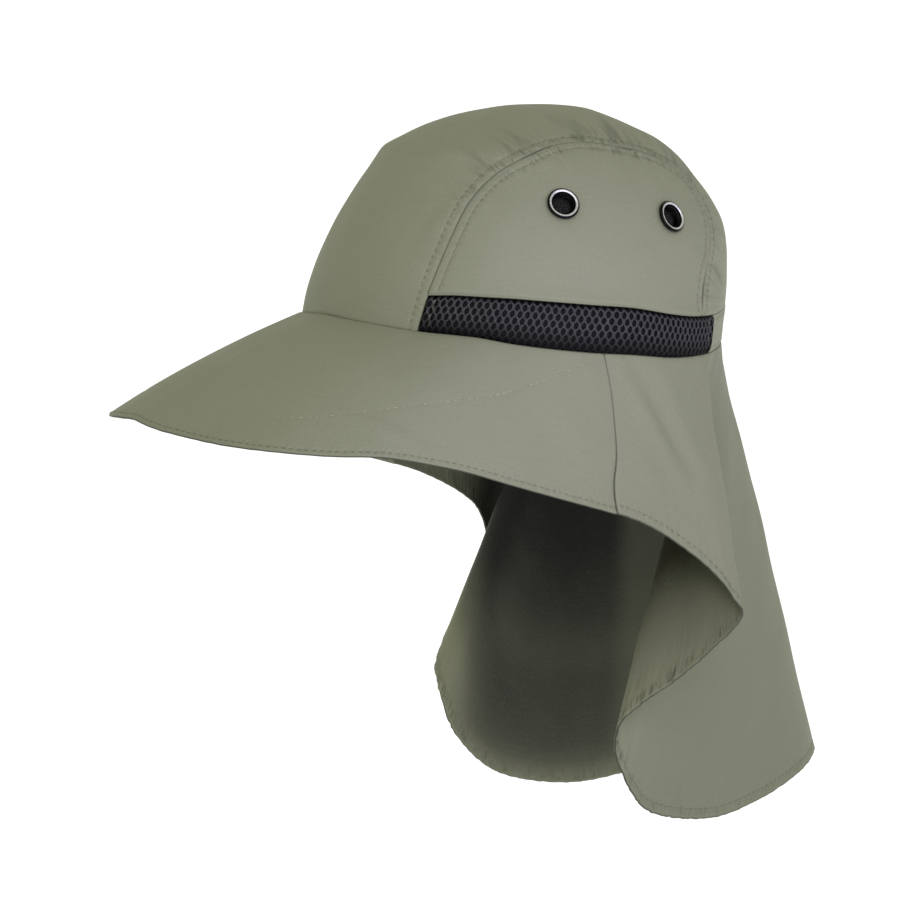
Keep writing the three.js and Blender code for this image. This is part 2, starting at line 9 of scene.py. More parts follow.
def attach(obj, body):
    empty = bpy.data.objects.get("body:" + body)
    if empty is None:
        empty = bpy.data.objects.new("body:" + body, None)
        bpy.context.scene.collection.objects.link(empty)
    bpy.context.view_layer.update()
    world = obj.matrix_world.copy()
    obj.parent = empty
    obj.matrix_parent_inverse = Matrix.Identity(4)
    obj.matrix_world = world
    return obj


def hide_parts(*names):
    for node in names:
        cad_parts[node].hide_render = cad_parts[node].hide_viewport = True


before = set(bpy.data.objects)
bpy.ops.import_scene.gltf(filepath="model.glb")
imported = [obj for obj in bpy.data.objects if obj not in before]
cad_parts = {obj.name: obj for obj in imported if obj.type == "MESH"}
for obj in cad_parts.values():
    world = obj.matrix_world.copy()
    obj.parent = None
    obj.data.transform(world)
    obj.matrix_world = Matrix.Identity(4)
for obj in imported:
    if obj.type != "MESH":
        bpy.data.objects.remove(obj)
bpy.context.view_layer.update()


# The camera stands off the wearer's left of the cap's front, a little above the head opening,
# and far enough away that perspective hardly shows. Turns are measured in degrees from the
# front of the cap towards the wearer's left.
AIM = Vector((-0.01193, -0.02067, -0.0577))
CAMERA_TURN = math.radians(60)
CAMERA_RISE = math.radians(7)
CAMERA_REACH = 2.2
CAMERA_LENS = 188.6
CAMERA_SENSOR = 36

towards_camera = Vector((
    math.sin(CAMERA_TURN) * math.cos(CAMERA_RISE),
    -math.cos(CAMERA_TURN) * math.cos(CAMERA_RISE),
    math.sin(CAMERA_RISE),
))
camera_data = bpy.data.cameras.new("camera")
camera_data.lens = CAMERA_LENS
camera_data.sensor_width = CAMERA_SENSOR
camera_data.clip_start = 0.05
camera_data.clip_end = 100
camera = bpy.data.objects.new("camera", camera_data)
camera.location = AIM + towards_camera * CAMERA_REACH
camera.rotation_mode = "QUATERNION"
camera.rotation_quaternion = (-towards_camera).to_track_quat("-Z", "Y")
bpy.context.scene.collection.objects.link(camera)
bpy.context.scene.camera = camera


# Crown panel: one strip of thin olive plain-weave cloth that runs from the brim over the top of
# the head to the band at the back. Its two long edges are turned in, sewn to the side panels,
# and topstitched beside the seam, and the thread draws the cloth into small puckers there.
CROWN_LENGTH = 0.197
CROWN_WIDTH = 0.169
CROWN_HEIGHT = 0.1045
CROWN_CLOTH = 0.0012
FRONT_RISE = 0.0145
OVAL_POWER = 2.1
BAND_HEIGHT = 0.0208
SEAM_GAP = 0.0003
SEAM_SHOWN = 0.0001
CROWN_ROWS = 230
CROWN_COLUMNS = 120
END_DRAW = 0.75
SEAM_STEP = 0.01
POINTS_AT_ONCE = 4000

# level in degrees, then centre and length as shares of half the crown's length, and width as a
# share of half its width
CROWN_SECTIONS = [
    (-6, -0.04, 0.995, 0.995),
    (0, -0.025, 1, 1),
    (15, 0.025, 0.98, 0.98),
    (30, 0.07, 0.91, 0.91),
    (45, 0.07, 0.765, 0.775),
    (57, 0.05, 0.63, 0.635),
    (70, 0.07, 0.4, 0.405),
    (80, 0.09, 0.212, 0.212),
    (90, 0.09, 0, 0),
]
CENTRE, LENGTH, WIDTH = 1, 2, 3

# turn, and the seam round the opening as a share of the rise at the front
BASE_LINE = [
    (0, 1), (20, 0.87), (37, 0.7), (54, 0.54), (65, 0.32), (85, 0), (96, -0.13),
    (110, -0.33), (122, -0.39), (134, -0.38), (152, -0.2), (180, -0.07),
]

# turn, and the top of the bands above that seam as a share of the band height
BAND_LINE = [
    (36, 0.74), (45, 0.81), (55, 0.85), (65, 0.94), (88, 1), (110, 0.92), (122, 0.86), (180, 0.83),
]

# place along the seam, and the seam in side view: back as a share of half the crown's length,
# up as a share of its height
SIDE_SEAM = [
    (0, -0.83, 0.03), (1, -0.81, 0.1), (2, -0.758, 0.25), (3, -0.7, 0.375), (4, -0.6, 0.54),
    (5, -0.51, 0.65), (6, -0.39, 0.745), (7, -0.26, 0.805), (8, -0.1, 0.85), (9, 0.06, 0.86),
    (10, 0.23, 0.838), (11, 0.37, 0.808), (12, 0.5, 0.76), (13, 0.6, 0.695), (14, 0.66, 0.6),
    (15, 0.67, 0.5), (16, 0.64, 0.39), (17, 0.58, 0.27), (18, 0.56, 0.15), (19, 0.56, 0.05),
]


def read_column(rows, column, at):
    """One column of a table at places between its rows, along a smooth curve."""
    table = np.array(rows, float)
    key = table[:, 0]
    value = table[:, column]
    slope = np.empty(len(key))
    slope[1:-1] = (value[2:] - value[:-2]) / (key[2:] - key[:-2])
    slope[0] = (value[1] - value[0]) / (key[1] - key[0])
    slope[-1] = (value[-1] - value[-2]) / (key[-1] - key[-2])
    at = np.asarray(at, float)
    row = np.clip(np.searchsorted(key, at) - 1, 0, len(key) - 2)
    width = key[row + 1] - key[row]
    share = (at - key[row]) / width
    rise = 3 * share**2 - 2 * share**3
    leave = share * (1 - share) ** 2 * width * slope[row]
    arrive = share**2 * (share - 1) * width * slope[row + 1]
    return value[row] * (1 - rise) + value[row + 1] * rise + leave + arrive


def fold_turn(turn):
    """A turn brought to 0..180, so that one table serves both sides."""
    whole = np.mod(turn, 360)
    return np.where(whole > 180, 360 - whole, whole)


def base_height(turn):
    return FRONT_RISE * read_column(BASE_LINE, 1, fold_turn(turn))


def band_top(turn):
    ahead = BAND_LINE[0][0]
    share = read_column(BAND_LINE, 1, np.maximum(fold_turn(turn), ahead))
    return base_height(turn) + BAND_HEIGHT * share


def level_of(height):
    return np.degrees(np.arcsin(np.clip(height / CROWN_HEIGHT, -1, 1)))


def crown_point(turn, level):
    """A point of the crown's outer face."""
    turn, level = np.broadcast_arrays(np.asarray(turn, float), np.asarray(level, float))
    rounded = lambda share: np.sign(share) * np.abs(share) ** (2 / OVAL_POWER)
    across = rounded(np.sin(np.radians(turn)))
    along = rounded(-np.cos(np.radians(turn)))
    read = lambda column: read_column(CROWN_SECTIONS, column, level)
    return np.stack([
        CROWN_WIDTH / 2 * read(WIDTH) * across,
        CROWN_LENGTH / 2 * (read(CENTRE) + read(LENGTH) * along),
        CROWN_HEIGHT * np.sin(np.radians(level)),
    ], axis=-1)


def crown_normal(turn, level):
    step = 0.5
    aside = crown_point(turn + step, level) - crown_point(turn - step, level)
    upward = crown_point(turn, level + step) - crown_point(turn, level - step)
    outward = np.cross(aside, upward)
    return outward / np.linalg.norm(outward, axis=-1, keepdims=True)


def to_plan(turn, level):
    """A place on the crown in a round plan, with the top of the crown in its middle."""
    reach = (90 - np.asarray(level, float)) / 90
    return np.stack([reach * np.sin(np.radians(turn)), -reach * np.cos(np.radians(turn))], axis=-1)


def from_plan(plan):
    reach = np.hypot(plan[..., 0], plan[..., 1])
    turn = np.degrees(np.arctan2(plan[..., 0], -plan[..., 1]))
    return crown_point(turn, 90 - 90 * reach)


def seam_place(at, grow=0.0):
    """Turn and level of the left side seam, moved away from the side panel by grow."""
    back = read_column(SIDE_SEAM, 1, at) * CROWN_LENGTH / 2
    up = read_column(SIDE_SEAM, 2, at) * CROWN_HEIGHT
    ahead = at + SEAM_STEP
    behind = at - SEAM_STEP
    run_back = read_column(SIDE_SEAM, 1, ahead) - read_column(SIDE_SEAM, 1, behind)
    run_back = run_back * CROWN_LENGTH / 2
    run_up = read_column(SIDE_SEAM, 2, ahead) - read_column(SIDE_SEAM, 2, behind)
    run_up = run_up * CROWN_HEIGHT
    run = np.hypot(run_back, run_up)
    back = back - grow * run_up / run
    up = up + grow * run_back / run
    level = level_of(up)
    share = (2 * back / CROWN_LENGTH - read_column(CROWN_SECTIONS, CENTRE, level)) / read_column(
        CROWN_SECTIONS, LENGTH, level
    )
    cosine = -np.sign(share) * np.abs(share) ** (OVAL_POWER / 2)
    return np.degrees(np.arccos(np.clip(cosine, -1, 1))), level


def seam_crossing(line, low, high):
    """Where the seam crosses a line round the opening, between two places along the seam."""
    at = np.linspace(low, high, 400)
    turn, level = seam_place(at)
    over = CROWN_HEIGHT * np.sin(np.radians(level)) - line(turn)
    crossed = np.nonzero(np.diff(np.sign(over)))[0][0]
    share = over[crossed] / (over[crossed] - over[crossed + 1])
    return at[crossed] + share * (at[crossed + 1] - at[crossed])


def lengths_along(points):
    steps = np.linalg.norm(np.diff(points, axis=0), axis=-1)
    return np.concatenate([[0], np.cumsum(steps)])


def even_places(places, points, wanted):
    """Places whose points lie along the line at wanted, where -1 is its start and 1 its end."""
    travelled = lengths_along(points)
    return np.interp((0.5 + 0.5 * wanted) * travelled[-1], travelled, places)


def grid_normals(face):
    outward = np.cross(np.gradient(face, axis=1), np.gradient(face, axis=0))
    return outward / np.maximum(np.linalg.norm(outward, axis=-1, keepdims=True), 1e-12)


def near_line(points, line):
    """The distance of each point from a line, and how far along the line it lies."""
    travelled = lengths_along(line)
    flat = points.reshape(-1, 3)
    away = np.empty(len(flat))
    along = np.empty(len(flat))
    for start in range(0, len(flat), POINTS_AT_ONCE):
        batch = slice(start, start + POINTS_AT_ONCE)
        apart = np.linalg.norm(flat[batch][:, None] - line[None], axis=2)
        away[batch] = apart.min(axis=1)
        along[batch] = travelled[apart.argmin(axis=1)]
    return away.reshape(points.shape[:-1]), along.reshape(points.shape[:-1])


def soft_waves(points, wavelength, seed, count=9):
    """Smooth seeded unevenness through space, about -1 to 1."""
    random = np.random.default_rng(seed)
    total = np.zeros(points.shape[:-1])
    for _ in range(count):
        direction = random.normal(size=3)
        direction /= np.linalg.norm(direction)
        pace = 2 * math.pi / (wavelength * random.uniform(0.7, 1.5))
        total += np.sin(points @ direction * pace + random.uniform(0, 2 * math.pi))
    return total / math.sqrt(count)


def puckers(along, away, pitch, reach, seed):
    """Small ridges that run off a sewn line and die out at the reach."""
    random = np.random.default_rng(seed)
    total = np.zeros_like(away)
    for share in (0.7, 1.0, 1.45):
        lean = random.uniform(-0.5, 0.5)
        phase = random.uniform(0, 2 * math.pi)
        swell = 0.6 + 0.4 * np.sin(along / (pitch * 5.3 * share) + phase * 3)
        total += swell * np.sin(2 * math.pi * (along + lean * away) / (pitch * share) + phase)
    return total / 2.2 * np.exp(-((away / reach) ** 2))


def crease(points, start, end, width):
    """1 along a soft crease from start to end, dying out across its width and at its ends."""
    start = np.asarray(start, float)
    run = np.asarray(end, float) - start
    share = (points - start) @ run / (run @ run)
    nearest = start + np.clip(share, 0, 1)[..., None] * run
    away = np.linalg.norm(points - nearest, axis=-1)
    fade = np.clip(1.25 - np.abs(share * 2 - 1), 0, 1)
    return np.exp(-((away / width) ** 2)) * fade


def add_creases(lift, face, rows, point_at):
    """The lift of a face with soft creases added. point_at turns places in the rows into points."""
    for start, end, width, height in rows:
        places = point_at([start[0], end[0]], [start[1], end[1]])
        lift = lift + height * crease(face, places[0], places[1], width)
    return lift


def piece_from(name, corners, faces, uv=None, marks=None, finishes=(), finish_of=None):
    """A smooth mesh piece that rides on the cap."""
    used = np.unique(np.concatenate([np.ravel(group) for group in faces]))
    place = np.full(len(corners), -1)
    place[used] = np.arange(len(used))
    groups = [place[np.asarray(group)].tolist() for group in faces]
    mesh = bpy.data.meshes.new(name)
    mesh.from_pydata(corners[used].tolist(), [], [face for group in groups for face in group])
    mesh.polygons.foreach_set("use_smooth", np.ones(len(mesh.polygons), bool))
    if uv is not None:
        layer = mesh.uv_layers.new(name="cloth")
        loop_corner = np.empty(len(mesh.loops), np.int32)
        mesh.loops.foreach_get("vertex_index", loop_corner)
        layer.data.foreach_set("uv", uv[used][loop_corner].astype(np.float32).ravel())
    for mark, values in (marks or {}).items():
        attribute = mesh.attributes.new(mark, "FLOAT", "POINT")
        attribute.data.foreach_set("value", values[used].astype(np.float32))
    for finish in finishes:
        mesh.materials.append(finish)
    if finish_of is not None:
        mesh.polygons.foreach_set("material_index", np.asarray(finish_of, np.int32))
    mesh.update()
    piece = bpy.data.objects.new(name, mesh)
    bpy.context.scene.collection.objects.link(piece)
    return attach(piece, "root")


def cloth_piece(name, face, thickness, uv, marks, finishes, keep=None):
    """A closed sheet of cloth from the grid of its outer face, with rounded edges. The second
    finish is that of the inner face."""
    rows, columns = face.shape[:2]
    normal = grid_normals(face)
    outer = face.reshape(-1, 3)
    inner = (face - normal * thickness).reshape(-1, 3)
    count = rows * columns
    index = np.arange(count).reshape(rows, columns)
    quads = np.stack([index[:-1, :-1], index[:-1, 1:], index[1:, 1:], index[1:, :-1]], axis=-1)
    quads = quads.reshape(-1, 4) if keep is None else quads[keep]
    edges = np.concatenate([quads[:, [0, 1]], quads[:, [1, 2]], quads[:, [2, 3]], quads[:, [3, 0]]])
    codes = edges[:, 0] * count + edges[:, 1]
    free = edges[~np.isin(codes, edges[:, 1] * count + edges[:, 0])]
    rim = np.unique(free)
    rim_place = np.full(count, -1)
    rim_place[rim] = 2 * count + np.arange(len(rim))
    flat_normal = normal.reshape(-1, 3)
    outward = np.zeros((count, 3))
    run = outer[free[:, 1]] - outer[free[:, 0]]
    aside = np.cross(run, flat_normal[free[:, 0]])
    np.add.at(outward, free[:, 0], aside)
    np.add.at(outward, free[:, 1], aside)
    outward = outward[rim]
    outward /= np.maximum(np.linalg.norm(outward, axis=1, keepdims=True), 1e-12)
    edge = (outer[rim] + inner[rim]) / 2 + outward * thickness * 0.42
    first, second = free[:, 0], free[:, 1]
    upper_wall = np.stack([second, first, rim_place[first], rim_place[second]], axis=1)
    lower_wall = np.stack([rim_place[second], rim_place[first], first + count, second + count], axis=1)
    faces = [quads, quads[:, ::-1] + count, upper_wall, lower_wall]
    finish_of = np.concatenate([np.full(len(group), which) for group, which in zip(faces, (0, 1, 0, 0))])
    everywhere = lambda values: np.concatenate([values, values, values[rim]])
    all_marks = {mark: everywhere(values.reshape(-1)) for mark, values in marks.items()}
    # The rim mark carries the painted shade of the cloth's cut edge.
    all_marks["rim"] = np.concatenate([np.zeros(2 * count), np.ones(len(rim))])
    return piece_from(
        name,
        np.concatenate([outer, inner, edge]),
        faces,
        everywhere(uv.reshape(-1, 2)),
        all_marks,
        finishes,
        finish_of,
    )


def node(tree, kind, wires=None, **settings):
    made = tree.nodes.new(kind)
    for setting, value in settings.items():
        setattr(made, setting, value)
    for socket, value in (wires or {}).items():
        if isinstance(value, bpy.types.NodeSocket):
            tree.links.new(value, made.inputs[socket])
        else:
            made.inputs[socket].default_value = value
    return made


def sum_of(tree, operation, *values):
    wires = dict(enumerate(values))
    return node(tree, "ShaderNodeMath", wires, operation=operation).outputs[0]


def ramp(tree, value, start, end, low=0.0, high=1.0):
    wires = {"Value": value, "From Min": start, "From Max": end, "To Min": low, "To Max": high}
    return node(tree, "ShaderNodeMapRange", wires, interpolation_type="SMOOTHSTEP").outputs[0]


def mix_colours(tree, share, first, second, blend="MIX"):
    wires = {0: share, 6: first, 7: second}
    return node(tree, "ShaderNodeMix", wires, data_type="RGBA", blend_type=blend).outputs[2]


def shader_group(name, inputs, outputs):
    tree = bpy.data.node_groups.new(name, "ShaderNodeTree")
    for label, kind in inputs:
        tree.interface.new_socket(label, in_out="INPUT", socket_type=kind)
    for label, kind in outputs:
        tree.interface.new_socket(label, in_out="OUTPUT", socket_type=kind)
    return tree, tree.nodes.new("NodeGroupInput").outputs, tree.nodes.new("NodeGroupOutput").inputs


# Plain weave in the cloth's own flat coordinates, in metres: crossing threads, thicker threads
# here and there, and the broad unevenness of a dyed cloth.
weave, weave_in, weave_out = shader_group(
    "plain_weave",
    [("Cloth", "NodeSocketVector"), ("Thread", "NodeSocketFloat")],
    [
        ("Height", "NodeSocketFloat"), ("Slub", "NodeSocketFloat"),
        ("Mottle", "NodeSocketFloat"), ("Grain", "NodeSocketFloat"),
    ],
)
across, along, _ = node(weave, "ShaderNodeSeparateXYZ", {0: weave_in["Cloth"]}).outputs
pace = sum_of(weave, "DIVIDE", math.pi, weave_in["Thread"])
over = sum_of(weave, "SINE", sum_of(weave, "MULTIPLY", across, pace))
under = sum_of(weave, "SINE", sum_of(weave, "MULTIPLY", along, pace))
weave.links.new(sum_of(weave, "MULTIPLY", over, under), weave_out["Height"])
threads = node(weave, "ShaderNodeMapping", {0: weave_in["Cloth"], "Scale": (55, 1500, 1)})
slub = node(weave, "ShaderNodeTexNoise", {"Vector": threads.outputs[0], "Scale": 1, "Detail": 2})
weave.links.new(slub.outputs[0], weave_out["Slub"])
mottle = node(weave, "ShaderNodeTexNoise", {"Vector": weave_in["Cloth"], "Scale": 45, "Detail": 3})
weave.links.new(mottle.outputs[0], weave_out["Mottle"])
grain = node(weave, "ShaderNodeTexNoise", {"Vector": weave_in["Cloth"], "Scale": 850, "Detail": 2})
weave.links.new(grain.outputs[0], weave_out["Grain"])

# What a row of topstitching does to cloth: each stitch draws a small dip, and between the
# stitches the cloth stands up a little. Along and Away are measured from the row.
pull, pull_in, pull_out = shader_group(
    "stitch_pull",
    [("Along", "NodeSocketFloat"), ("Away", "NodeSocketFloat"), ("Pitch", "NodeSocketFloat")],
    [("Height", "NodeSocketFloat"), ("Dip", "NodeSocketFloat")],
)
beat = sum_of(pull, "MULTIPLY", pull_in["Along"], sum_of(pull, "DIVIDE", 2 * math.pi, pull_in["Pitch"]))
wave = sum_of(pull, "COSINE", beat)
nearby = ramp(pull, sum_of(pull, "ABSOLUTE", pull_in["Away"]), 0.0003, 0.0022, 1, 0)
close = ramp(pull, sum_of(pull, "ABSOLUTE", pull_in["Away"]), 0.0001, 0.0007, 1, 0)
trough = sum_of(pull, "MULTIPLY", nearby, -0.6)
lift = sum_of(pull, "MULTIPLY", sum_of(pull, "MULTIPLY", wave, nearby), -0.4)
pull.links.new(sum_of(pull, "ADD", trough, lift), pull_out["Height"])
holes = ramp(pull, wave, 0.55, 0.95)
pull.links.new(sum_of(pull, "MULTIPLY", holes, close), pull_out["Dip"])

# How a sewn seam gathers cloth: short ridges that run off the seam, with shade between them, and
# long soft streaks farther out.
gathers, gathers_in, gathers_out = shader_group(
    "gathers",
    [
        ("Along", "NodeSocketFloat"), ("Away", "NodeSocketFloat"),
        ("Gather", "NodeSocketFloat"), ("Streak", "NodeSocketFloat"),
    ],
    [("Height", "NodeSocketFloat"), ("Shade", "NodeSocketFloat")],
)


def stretched_noise(tree, along, away, pace, reach, detail):
    """Noise in ridges that run away from a seam."""
    along = sum_of(tree, "MULTIPLY", along, pace)
    away = sum_of(tree, "MULTIPLY", away, reach)
    place = node(tree, "ShaderNodeCombineXYZ", {0: along, 1: away, 2: pace * 0.01}).outputs[0]
    noise = node(tree, "ShaderNodeTexNoise", {"Vector": place, "Scale": 1, "Detail": detail}).outputs[0]
    return sum_of(tree, "SUBTRACT", noise, 0.5)


ridges = stretched_noise(gathers, gathers_in["Along"], gathers_in["Away"], 560, 110, 1)
streaks = stretched_noise(gathers, gathers_in["Along"], gathers_in["Away"], 170, 22, 2.5)
ridges = sum_of(gathers, "MULTIPLY", ridges, gathers_in["Gather"])
streaks = sum_of(gathers, "MULTIPLY", streaks, gathers_in["Streak"])
rise = sum_of(gathers, "MULTIPLY", ridges, 2.6)
rise = sum_of(gathers, "MULTIPLY_ADD", streaks, 4.5, rise)
gathers.links.new(rise, gathers_out["Height"])
between = sum_of(gathers, "MULTIPLY_ADD", streaks, 0.8, ridges)
gathers.links.new(ramp(gathers, between, 0.0, -0.16), gathers_out["Shade"])

# Colours of the cloth outside, of the painted shade in its seams, stitch holes and gathers, of the
# painted shade on the cape past the fold and on the cut edge, then of its inner face
CLOTH_LIGHT = (0.214, 0.22, 0.163, 1)
CLOTH_DARK = (0.17, 0.176, 0.124, 1)
CLOTH_SHADE = (0.045, 0.047, 0.03, 1)
CLOTH_SHADE_BEHIND = (0.1, 0.105, 0.064, 1)
CLOTH_RIM_SHADE = (0.012, 0.012, 0.008, 1)
INSIDE_OLIVE = (0.235, 0.242, 0.168, 1)
INSIDE_DEEP = (0.022, 0.022, 0.021, 1)
INSIDE_BROWN = (0.022, 0.022, 0.012, 1)
THREAD_PITCH = 0.00036
STITCH_PITCH = 0.0033


def new_material(name):
    material = bpy.data.materials.new(name)
    material.use_nodes = True
    tree = material.node_tree
    tree.nodes.clear()
    shader = tree.nodes.new("ShaderNodeBsdfPrincipled")
    tree.links.new(shader.outputs[0], tree.nodes.new("ShaderNodeOutputMaterial").inputs["Surface"])
    return material, tree, shader


def mark_value(tree, mark):
    """A mark of the piece's corners. A piece that has no such mark reads it as 0."""
    return node(tree, "ShaderNodeAttribute", attribute_name=mark).outputs["Fac"]


def olive_cloth(name, inside):
    """The cap's cloth. The inner face is darkened as its mark called shade says."""
    material, tree, shader = new_material(name)
    flat = node(tree, "ShaderNodeUVMap", uv_map="cloth").outputs[0]
    threads = node(tree, "ShaderNodeGroup", node_tree=weave)
    tree.links.new(flat, threads.inputs["Cloth"])
    threads.inputs["Thread"].default_value = THREAD_PITCH
    tone = sum_of(tree, "MULTIPLY_ADD", threads.outputs["Slub"], 0.55, -0.05)
    tone = sum_of(tree, "ADD", tone, sum_of(tree, "MULTIPLY", threads.outputs["Mottle"], 0.55))
    tone = sum_of(tree, "MULTIPLY_ADD", threads.outputs["Height"], 0.08, tone)
    tone = sum_of(tree, "MULTIPLY_ADD", threads.outputs["Grain"], 1.1, sum_of(tree, "SUBTRACT", tone, 0.55))
    height = sum_of(tree, "MULTIPLY", threads.outputs["Height"], 0.035)
    height = sum_of(tree, "MULTIPLY_ADD", threads.outputs["Slub"], 0.05, height)
    if inside:
        deep = sum_of(tree, "SUBTRACT", tone, 0.5)
        deep = sum_of(tree, "MULTIPLY_ADD", deep, 0.15, mark_value(tree, "shade"))
        deep = sum_of(tree, "MINIMUM", sum_of(tree, "MAXIMUM", deep, 0.0), 1.0)
        darkest = mix_colours(tree, mark_value(tree, "folded_out"), INSIDE_DEEP, INSIDE_BROWN)
        colour = mix_colours(tree, deep, INSIDE_OLIVE, darkest)
    else:
        rows = node(tree, "ShaderNodeGroup", node_tree=pull)
        tree.links.new(mark_value(tree, "row_along"), rows.inputs["Along"])
        tree.links.new(mark_value(tree, "row_away"), rows.inputs["Away"])
        rows.inputs["Pitch"].default_value = STITCH_PITCH
        colour = mix_colours(tree, tone, CLOTH_DARK, CLOTH_LIGHT)
        # Painted shade: the cape past the fold is darkened, for the shadow of the fold.
        colour = mix_colours(tree, mark_value(tree, "behind"), colour, CLOTH_SHADE_BEHIND)
        # Painted shade: a thin dark line along the seams and the cloth's edges.
        seam = ramp(tree, mark_value(tree, "edge_away"), 0.0, 0.0005, 0.7, 0)
        colour = mix_colours(tree, seam, colour, CLOTH_SHADE)
        # Painted shade in the stitch holes.
        dip = sum_of(tree, "MULTIPLY", rows.outputs["Dip"], mark_value(tree, "dotted"))
        colour = mix_colours(tree, dip, colour, CLOTH_SHADE)
        height = sum_of(tree, "MULTIPLY_ADD", rows.outputs["Height"], 0.16, height)
    drawn = node(tree, "ShaderNodeGroup", node_tree=gathers)
    tree.links.new(mark_value(tree, "row_along"), drawn.inputs["Along"])
    tree.links.new(mark_value(tree, "row_away"), drawn.inputs["Away"])
    tree.links.new(mark_value(tree, "gather"), drawn.inputs["Gather"])
    tree.links.new(mark_value(tree, "streak"), drawn.inputs["Streak"])
    height = sum_of(tree, "ADD", height, drawn.outputs["Height"])
    # Painted shade between the gathers.
    between = sum_of(tree, "MULTIPLY", drawn.outputs["Shade"], 0.4)
    colour = mix_colours(tree, between, colour, CLOTH_SHADE)
    # Painted shade: the cut edge of the cloth is darkened nearly to black.
    rim = sum_of(tree, "MULTIPLY", ramp(tree, mark_value(tree, "rim"), 0.1, 0.8), 0.9)
    colour = mix_colours(tree, rim, colour, CLOTH_RIM_SHADE)
    tree.links.new(colour, shader.inputs["Base Color"])
    rough = ramp(tree, threads.outputs["Mottle"], 0.2, 0.8, 0.5, 0.62)
    tree.links.new(rough, shader.inputs["Roughness"])
    bump = node(tree, "ShaderNodeBump", {"Strength": 1.0, "Distance": 0.001, "Height": height})
    tree.links.new(bump.outputs[0], shader.inputs["Normal"])
    shader.inputs["Specular IOR Level"].default_value = 0.15 if inside else 0.5
    return material


cloth_outside = olive_cloth("olive_cloth_outside", inside=False)
cloth_inside = olive_cloth("olive_cloth_inside", inside=True)
cloth_finishes = (cloth_outside, cloth_inside)

ROW_OFF_SEAM = 0.004
PUCKER_PITCH = 0.0078
PUCKER_REACH = 0.0085

# share of the way along the seam, and how strongly it puckers there
PUCKER_STRENGTH = [(0, 0.25), (0.2, 0.35), (0.38, 0.8), (0.5, 1), (0.62, 1), (0.75, 0.7), (1, 0.5)]


def seam_line(grow, low, high, count=900):
    at = np.linspace(low, high, count)
    turn, level = seam_place(at, grow)
    return crown_point(turn, level)


base_crossing = seam_crossing(base_height, 0, 4)
front_crossing = seam_crossing(band_top, 0.5, 5)
rear_crossing = seam_crossing(band_top, 15, 19)


def press_seam(face, seam, seed):
    """The roll and the puckers of cloth at a seam, as heights along its normal. Returns them with
    the distance from the seam and the marks for the finish."""
    away, along = near_line(face, seam)
    length = lengths_along(seam)[-1]
    strength = read_column(PUCKER_STRENGTH, 1, along / length)
    roll = -0.00015 * np.exp(-((away / 0.0004) ** 2))
    bead = 0.0001 * np.exp(-(((away - 0.002) / 0.0012) ** 2))
    trough = -0.00016 * np.exp(-(((away - ROW_OFF_SEAM) / 0.0009) ** 2))
    ripple = 0.00036 * strength * puckers(along, away, PUCKER_PITCH, PUCKER_REACH, seed)
    ripple *= np.clip(away / 0.0015, 0, 1)
    marks = {
        "row_along": along,
        "row_away": away - ROW_OFF_SEAM,
        "dotted": 0.35 + 0 * away,
        "gather": strength * ease(away, 0.0002, 0.0014) * ease(away, 0.0075, 0.0035),
        "streak": strength * ease(away, 0.002, 0.006) * ease(away, 0.04, 0.008),
    }
    return roll + bead + trough + ripple, away, marks


def ease(values, start, end):
    share = np.clip((values - start) / (end - start), 0, 1)
    return share * share * (3 - 2 * share)


def travelled_across(face):
    """How far along its row each point of a grid lies."""
    steps = np.linalg.norm(np.diff(face, axis=1), axis=2)
    return np.concatenate([np.zeros((face.shape[0], 1)), np.cumsum(steps, axis=1)], axis=1)


def flat_coordinates(face):
    """Distances in metres from the middle column and from the first row."""
    middle = face.shape[1] // 2
    across = travelled_across(face)
    across -= across[:, middle:middle + 1]
    down = np.repeat(lengths_along(face[:, middle])[:, None], face.shape[1], axis=1)
    return np.stack([across, down], axis=-1)


# start and end (turn, level) of soft creases in the crown, with width and height in metres
CROWN_CREASES = [
    ((30, 24), (47, 46), 0.004, 0.0005),
    ((24, 12), (33, 40), 0.005, -0.0005),
    ((150, 78), (112, 66), 0.004, 0.0005),
    ((128, 72), (118, 58), 0.0035, -0.0004),
    ((15, 84), (75, 74), 0.006, 0.0005),
    ((-40, 20), (-44, 50), 0.005, 0.0004),
    ((160, 60), (140, 40), 0.005, 0.0005),
    ((-150, 62), (-130, 45), 0.005, -0.0005),
]
FRONT_EDGE_LEVEL = 55.5


def closer_at_ends(places):
    """Places from -1 to 1, drawn closer together at both ends."""
    return (1 - END_DRAW) * places + END_DRAW * np.sin(math.pi / 2 * places)


def crown_panel_face():
    """The outer face as a grid, from the brim to the back and from the right seam to the left."""
    at = np.linspace(base_crossing, rear_crossing, 1500)
    turn, level = seam_place(at, SEAM_SHOWN)
    at = even_places(at, crown_point(turn, level), np.linspace(-1, 1, CROWN_ROWS))
    turn, level = seam_place(at, SEAM_SHOWN)
    left = to_plan(turn, level)
    aside = closer_at_ends(np.linspace(-1, 1, CROWN_COLUMNS))
    front_turn = aside * turn[0]
    front = to_plan(front_turn, level_of(base_height(front_turn)))
    back_turn = 180 - aside * (180 - turn[-1])
    back = to_plan(back_turn, level_of(band_top(back_turn)))
    share = np.linspace(0, 1, CROWN_ROWS)[:, None]
    x = left[:, 0][:, None] * aside
    y = np.repeat(left[:, 1][:, None], CROWN_COLUMNS, axis=1)
    x = x + (1 - share) * (front[:, 0] - left[0, 0] * aside) + share * (back[:, 0] - left[-1, 0] * aside)
    y = y + (1 - share) * (front[:, 1] - left[0, 1]) + share * (back[:, 1] - left[-1, 1])
    return from_plan(np.stack([x, y], axis=-1))


def crown_unevenness(face):
    """Slack and creases of the whole crown, as heights along its normal."""
    lift = 0.0002 * soft_waves(face, 0.045, 3) + 0.0001 * soft_waves(face, 0.02, 4)
    return add_creases(lift, face, CROWN_CREASES, crown_point)


